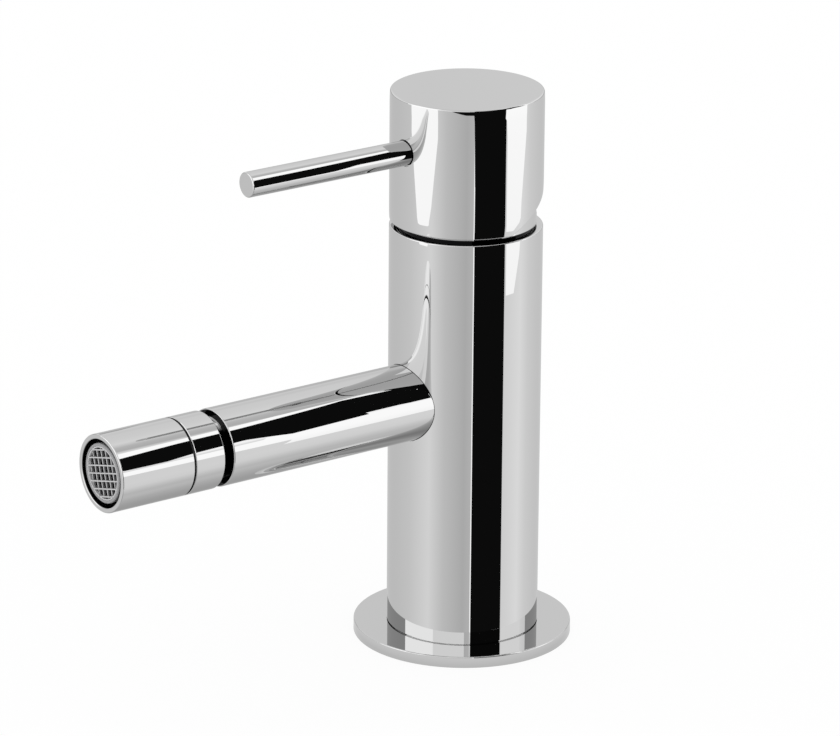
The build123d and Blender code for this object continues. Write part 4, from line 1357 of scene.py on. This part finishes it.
class MIXER_OT_spout(PieceOperator, bpy.types.Operator):
    """Adds the spout tube and the ball stem at its end"""

    bl_idname = "mixer.spout"
    bl_label = "Spout"
    pieces = (
        Piece("spout_tube", tube_skin, "mixer_body", "polished_chrome", tube_painted_shade),
        Piece("ball_stem", ball_stem_skin, "mixer_body", "polished_chrome", ball_painted_shade),
    )


class MIXER_OT_aerator(PieceOperator, bpy.types.Operator):
    """Adds the swivel ring, the aerator sleeve, the cage and the grid"""

    bl_idname = "mixer.aerator"
    bl_label = "Aerator"
    pieces = (
        Piece("swivel_ring", swivel_ring_skin, "aerator", "polished_chrome", tube_painted_shade),
        Piece("aerator_sleeve", sleeve_skin, "aerator", "polished_chrome", sleeve_painted_shade),
        Piece("aerator_cage", cage_skin, "aerator", "pale_plastic", cage_painted_shade),
        Piece("aerator_grid", grid_skin, "aerator", "pale_plastic", grid_painted_shade),
    )


class MIXER_OT_cover(PieceOperator, bpy.types.Operator):
    """Adds the domed cover over the cartridge"""

    bl_idname = "mixer.cover"
    bl_label = "Cartridge cover"
    pieces = (
        Piece("cartridge_cover", cover_skin, "mixer_body", "polished_chrome", cover_painted_shade),
    )


class MIXER_OT_handle(PieceOperator, bpy.types.Operator):
    """Adds the handle's cap and its lever pin"""

    bl_idname = "mixer.handle"
    bl_label = "Handle"
    pieces = (
        Piece("handle_cap", cap_skin, "handle", "polished_chrome"),
        Piece("lever_pin", lever_skin, "handle", "polished_chrome"),
    )


# Painted shade: these parts get dark plastic, which stands for the shade they lie in behind the grid in the
# mouth
PAINTED_SHADE_INSIDE = ("flow_disc", "strainer")


class MIXER_OT_inner_finishes(bpy.types.Operator):
    """Gives each CAD node that is kept the material of its slot, and dark plastic as painted shade to the
    parts behind the grid
    """

    bl_idname = "mixer.inner_finishes"
    bl_label = "Inner finishes"
    bl_options = {"REGISTER", "UNDO"}

    def execute(self, context):
        looks = context.scene.mixer_looks
        for entry in frame["record"]["subparts"]:
            slot = entry["material_slot"]
            if entry["node"] in PAINTED_SHADE_INSIDE:
                slot = "dark_plastic"
            node = frame["nodes"][entry["node"]]
            node.data.materials.clear()
            node.data.materials.append(material_of(slot, looks))
        return {"FINISHED"}


# Studio

WHITE = (1, 1, 1, 1)
BLACK_SHADE = 11
CHROME_SHARE = 0.62
CARD_COLUMNS = 160
TENT_RADIUS = 4000.0
TENT_STEPS = 64
FLOOR_RADIUS = 8000.0
FLOOR_CENTRE = 0.001
FLOOR_STEPS = 96
FLOOR_WHITE = 0.9
FLOOR_SHADES = (0.98, 0.995)
FLOOR_NOISE_SCALE = 200.0
FLOOR_NOISE_DETAIL = 2.0
FLOOR_ROUGHNESS = 0.9
SENSOR_WIDTH = 36
NEAREST_SEEN = 50.0
FURTHEST_SEEN = 20000.0


def light_level(shade):
    """The light that polished chrome shows as this shade of 0 to 255, by the sRGB curve."""
    return ((shade / 255 + 0.055) / 1.055) ** 2.4 / CHROME_SHARE


def camera_axes(studio):
    """The level directions to the camera's right and away from it."""
    turn = studio.camera_turn
    return np.array([cos(turn), sin(turn), 0.0]), np.array([-sin(turn), cos(turn), 0.0])


def card_points(studio, radius, lows, highs):
    """A curved card round the axis, between heights that go straight from angle to angle.

    Its angles are measured from the camera to the right.
    """
    right, ahead = camera_axes(studio)
    place = np.linspace(lows[0][0], lows[-1][0], CARD_COLUMNS + 1)
    angle = np.radians(place)
    spoke = np.sin(angle)[:, None] * right - np.cos(angle)[:, None] * ahead
    edges = [np.interp(place, *zip(*table)) for table in (lows, highs)]
    return np.stack([spoke * radius + edge[:, None] * UPRIGHT.along for edge in edges])


def stage_mesh(name, points, material, **seen_by):
    """An open surface of the studio, seen only by the kinds of rays that are named."""
    rows, columns = points.shape[:2]
    index = np.arange(rows * columns).reshape(rows, columns)
    faces = np.stack([index[:-1, :-1], index[1:, :-1], index[1:, 1:], index[:-1, 1:]], 2)
    mesh = bpy.data.meshes.new(name)
    mesh.from_pydata((points.reshape(-1, 3) * MM).tolist(), [], faces.reshape(-1, 4).tolist())
    mesh.materials.append(material)
    piece = bpy.data.objects.new(name, mesh)
    bpy.context.scene.collection.objects.link(piece)
    for kind in ("camera", "diffuse", "glossy", "transmission", "volume_scatter", "shadow"):
        setattr(piece, "visible_" + kind, seen_by.get(kind, False))


def add_ramp(tree, value, stops):
    """A colour ramp in grey, with stops given as pairs of a place and a level."""
    ramp = add_node(tree, "ShaderNodeValToRGB", {"Fac": value})
    elements = ramp.color_ramp.elements
    while len(elements) < len(stops):
        elements.new(1.0)
    for element, (place, level) in zip(elements, stops):
        element.position = place
        element.color = (level, level, level, 1)
    return ramp.outputs["Color"]


def glow_material(name, low_shade, high_shade, low, high):
    """Light that goes from one shade to another between two heights in mm."""
    material, tree = new_material(name)
    tree.nodes.clear()
    place = add_node(tree, "ShaderNodeNewGeometry")
    parts = add_node(tree, "ShaderNodeSeparateXYZ", {"Vector": place.outputs["Position"]})
    height = spread(tree, parts.outputs["Z"], low * MM, high * MM)
    level = add_ramp(tree, height, ((0, light_level(low_shade)), (1, light_level(high_shade))))
    glow = add_node(tree, "ShaderNodeEmission", {"Color": level})
    add_node(tree, "ShaderNodeOutputMaterial", {"Surface": glow.outputs["Emission"]})
    return material


# The tent's shades round the mixer, by the angle from the camera to the right: low, and overhead
TENT_ROUND = (
    (-180, 160), (-165, 174), (-150, 177), (-90, 192), (-54, 208), (-30, 185), (0, 168),
    (62, 205), (90, 215), (108, 200), (144, 183), (165, 174), (180, 160),
)
TENT_OVERHEAD = (
    (-180, 198), (-90, 192), (60, 192), (86, 230), (95, 205), (101, 170), (118, 178),
    (130, 196), (142, 209), (161, 203), (180, 198),
)
# How bright the low tent is at each elevation of the ray
TENT_RISE = (
    (-90, 0.66), (-45, 0.68), (-30, 0.95), (-20, 1.0), (0, 1.0), (12, 1.1), (16, 1.44),
    (24, 1.44), (90, 1.44),
)
OVERHEAD_FROM = radians(27)
OVERHEAD_TO = radians(36)


def tent_material(studio):
    """The tent's light by direction: a ramp round the mixer, times a ramp of the elevation."""
    right, ahead = camera_axes(studio)
    material, tree = new_material("tent_glow")
    tree.nodes.clear()
    place = add_node(tree, "ShaderNodeNewGeometry")
    unit = vector_step(tree, "NORMALIZE", place.outputs["Position"])[0]
    sideways = vector_step(tree, "DOT_PRODUCT", unit, tuple(right))["Value"]
    backward = vector_step(tree, "DOT_PRODUCT", unit, tuple(-ahead))["Value"]
    turn = spread(tree, number_step(tree, "ARCTAN2", sideways, backward), -pi, pi)
    low_tent, overhead = (
        add_ramp(tree, turn, [((angle + 180) / 360, light_level(shade)) for angle, shade in table])
        for table in (TENT_ROUND, TENT_OVERHEAD)
    )
    parts = add_node(tree, "ShaderNodeSeparateXYZ", {"Vector": unit})
    rise = number_step(tree, "ARCSINE", parts.outputs["Z"])
    rise_stops = [((angle + 90) / 180, share) for angle, share in TENT_RISE]
    dimming = add_ramp(tree, spread(tree, rise, -pi / 2, pi / 2), rise_stops)
    low_glow = add_node(tree, "ShaderNodeEmission", {"Color": low_tent, "Strength": dimming})
    high_glow = add_node(tree, "ShaderNodeEmission", {"Color": overhead})
    share = spread(tree, rise, OVERHEAD_FROM, OVERHEAD_TO)
    glow = mixed_shader(tree, share, low_glow.outputs[0], high_glow.outputs[0])
    add_node(tree, "ShaderNodeOutputMaterial", {"Surface": glow})
    return material


def add_tent(studio):
    """A far sphere that only the mirrored rays see."""
    ring = spokes(UPRIGHT, full_turn(TENT_STEPS))
    lean = np.linspace(0, pi, TENT_STEPS // 2 + 1)[:, None]
    points = np.sin(lean)[..., None] * ring + np.cos(lean)[..., None] * UPRIGHT.along
    stage_mesh("tent", points * TENT_RADIUS, tent_material(studio), glossy=True)


# What each card gives off: two shades, and the heights in mm between which it goes over
CARD_GLOWS = {
    "black_card": (BLACK_SHADE, BLACK_SHADE, 0, 1),
    "white_card": (246, 250, 0, 400),
    "side_card": (243, 249, -27, 60),
    "dim_card": (150, 150, 0, 1),
    "foot_card": (272, 272, 0, 1),
    "foot_dimmer_card": (246, 246, 0, 1),
    "floor_light_card": (181, 192, -0.8, 1.1),
}
# The cards' lower and upper edges, as pairs of an angle from the camera and a height in mm. An
# upper edge with one pair is level.
NEAR_FLAG_LOW = (
    (-24, 131), (-16, 129), (-8, 127.3), (-2, 126.2), (9, 126), (11, 98), (20, 97), (26, 108),
    (36, 117), (41, 89), (53, 97), (54.5, 131), (61, 131.5), (82, 215), (88, 240),
)
NEAR_FLAG_HIGH = ((9, 132.5), (9.5, 190), (33, 215), (42, 232), (50, 245), (60, 245), (88, 275))
MID_FLAG_LOW = ((64.8, 187), (66.8, 189), (67.8, 189), (68.1, 182), (91.2, 180))
MID_FLAG_HIGH = ((64.8, 238), (83.7, 447), (85.7, 473), (87.8, 500), (90.4, 532), (91.2, 554))
SIDE_BOX_LOW = ((44, 100), (53, 62), (60.9, 28), (61, -27), (75, -27), (85, -14), (88, 4), (97, 28))
SIDE_BOX_HIGH = ((60, 141), (60.5, 170))
LEFT_BOX_LOW = (
    (-89, 28), (-79, 4), (-77, -1), (-72, -7), (-58.5, -7), (-56, -1), (-52.7, 4), (-43, 28),
)
FAR_HIGH = ((0, 1200),)
FOOT_HIGH = ((0, 190),)

Card = namedtuple("Card", "name glow radius lows highs")
CARDS = (
    Card("far_flag", "black_card", 2000, ((12.2, -1200), (60, -1200)), FAR_HIGH),
    Card("thin_strip", "white_card", 1990, ((10.8, -1200), (12.2, -1200)), FAR_HIGH),
    Card("near_flag", "black_card", 120, NEAR_FLAG_LOW, NEAR_FLAG_HIGH),
    Card("mid_flag", "black_card", 390, MID_FLAG_LOW, MID_FLAG_HIGH),
    Card("side_box", "side_card", 400, SIDE_BOX_LOW, SIDE_BOX_HIGH),
    Card("high_box", "white_card", 834, ((60, 450), (110, 450)), ((0, 1250),)),
    Card("left_box", "white_card", 400, LEFT_BOX_LOW, ((0, 500),)),
    Card("left_dim", "dim_card", 390, ((-162, 120), (-95, 120)), FOOT_HIGH),
    Card("right_dim", "dim_card", 390, ((110.5, 120), (162, 120)), FOOT_HIGH),
    Card("foot_light", "foot_card", 390, ((-95, 120), (-44, 120)), FOOT_HIGH),
    Card("foot_dimmer", "foot_dimmer_card", 390, ((-44, 120), (3, 120)), FOOT_HIGH),
    Card("flange_light", "floor_light_card", 31.5, ((-180, -3), (180, -3)), ((0, 1.6),)),
)


def add_cards(studio):
    """The light boxes and black flags that the chrome mirrors."""
    glows = {name: glow_material(name, *values) for name, values in CARD_GLOWS.items()}
    for card in CARDS:
        points = card_points(studio, card.radius, card.lows, card.highs)
        stage_mesh(card.name, points, glows[card.glow], glossy=True)


def add_floor():
    """A wide white floor, which the camera sees almost white and with a faint shadow."""
    white, tree = new_material("floor_white")
    shader = tree.nodes["Principled BSDF"]
    place = add_node(tree, "ShaderNodeNewGeometry")
    noise = add_noise(tree, place.outputs["Position"], FLOOR_NOISE_SCALE, FLOOR_NOISE_DETAIL)
    tree.links.new(spread(tree, noise, 0.0, 1.0, *FLOOR_SHADES), shader.inputs["Base Color"])
    shader.inputs["Roughness"].default_value = FLOOR_ROUGHNESS
    shader.inputs["Specular IOR Level"].default_value = 0.0
    path = add_node(tree, "ShaderNodeLightPath")
    share = number_step(tree, "MULTIPLY", path.outputs["Is Camera Ray"], FLOOR_WHITE)
    plain = add_node(tree, "ShaderNodeEmission", {"Color": WHITE, "Strength": 1.0})
    either = mixed_shader(tree, share, shader.outputs["BSDF"], plain.outputs["Emission"])
    tree.links.new(either, tree.nodes["Material Output"].inputs["Surface"])
    angle = full_turn(FLOOR_STEPS)
    wide = np.stack([ring_of(UPRIGHT, radius, 0, angle) for radius in (FLOOR_CENTRE, FLOOR_RADIUS)])
    stage_mesh("floor", wide, white, camera=True, diffuse=True, shadow=True)


def set_world(studio):
    """White for the rays that show the background, and a plain light for all others."""
    world = bpy.data.worlds.new("studio")
    bpy.context.scene.world = world
    world.use_nodes = True
    tree = world.node_tree
    tree.nodes.clear()
    path = add_node(tree, "ShaderNodeLightPath").outputs
    shown = path["Is Camera Ray"]
    for kind in ("Is Glossy Ray", "Is Transmission Ray"):
        shown = number_step(tree, "MAXIMUM", shown, path[kind])
    light, background = (
        add_node(tree, "ShaderNodeBackground", {"Color": WHITE, "Strength": strength})
        for strength in (studio.floor_light, 1.0)
    )
    either = mixed_shader(tree, shown, light.outputs[0], background.outputs[0])
    add_node(tree, "ShaderNodeOutputWorld", {"Surface": either})


def add_camera(studio):
    """The camera of the photo: it looks down at the mixer from the spout's right."""
    right, ahead = camera_axes(studio)
    up = UPRIGHT.along
    place = -studio.camera_side * right - studio.camera_back * ahead + studio.camera_height * up
    forward = ahead * cos(studio.camera_tilt) - up * sin(studio.camera_tilt)
    head = ahead * sin(studio.camera_tilt) + up * cos(studio.camera_tilt)
    roll = studio.camera_roll
    across = cos(roll) * right + sin(roll) * head
    upward = -sin(roll) * right + cos(roll) * head
    data = bpy.data.cameras.new("camera")
    data.lens = studio.lens
    data.sensor_width = SENSOR_WIDTH
    data.clip_start = NEAREST_SEEN * MM
    data.clip_end = FURTHEST_SEEN * MM
    camera = bpy.data.objects.new("camera", data)
    bpy.context.scene.collection.objects.link(camera)
    turn = Matrix(np.stack([across, upward, -forward], 1).tolist()).to_4x4()
    camera.matrix_world = Matrix.Translation(Vector(place * MM)) @ turn
    bpy.context.scene.camera = camera


class MIXER_OT_studio(bpy.types.Operator):
    """Adds the floor, the light, the mirrored cards and the camera"""

    bl_idname = "mixer.studio"
    bl_label = "Studio"
    bl_options = {"REGISTER", "UNDO"}

    def execute(self, context):
        studio = context.scene.mixer_studio
        add_floor()
        add_tent(studio)
        add_cards(studio)
        set_world(studio)
        add_camera(studio)
        context.scene.view_settings.view_transform = "Standard"
        return {"FINISHED"}


class MIXER_PT_looks(bpy.types.Panel):
    """Lists the steps that build the mixer's looks"""

    bl_label = "Mixer looks"
    bl_space_type = "VIEW_3D"
    bl_region_type = "UI"
    bl_category = "Mixer"

    def draw(self, context):
        for group in (context.scene.mixer_looks, context.scene.mixer_studio):
            for name in group.__annotations__:
                self.layout.prop(group, name)
        for step in STEPS:
            self.layout.operator(step.bl_idname)


STEPS = (
    MIXER_OT_body,
    MIXER_OT_foot,
    MIXER_OT_spout,
    MIXER_OT_aerator,
    MIXER_OT_cover,
    MIXER_OT_handle,
    MIXER_OT_inner_finishes,
    MIXER_OT_studio,
)
CLASSES = (MixerLooks, StudioLooks, *STEPS, MIXER_PT_looks)


def register():
    for kind in CLASSES:
        bpy.utils.register_class(kind)
    bpy.types.Scene.mixer_looks = PointerProperty(type=MixerLooks)
    bpy.types.Scene.mixer_studio = PointerProperty(type=StudioLooks)


def unregister():
    del bpy.types.Scene.mixer_studio
    del bpy.types.Scene.mixer_looks
    for kind in reversed(CLASSES):
        bpy.utils.unregister_class(kind)


def main():
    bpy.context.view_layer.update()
    register()
    bpy.ops.mixer.body()
    bpy.ops.mixer.foot()
    bpy.ops.mixer.spout()
    bpy.ops.mixer.aerator()
    bpy.ops.mixer.cover()
    bpy.ops.mixer.handle()
    bpy.ops.mixer.inner_finishes()
    bpy.ops.mixer.studio()


if __name__ == "__main__":
    main()
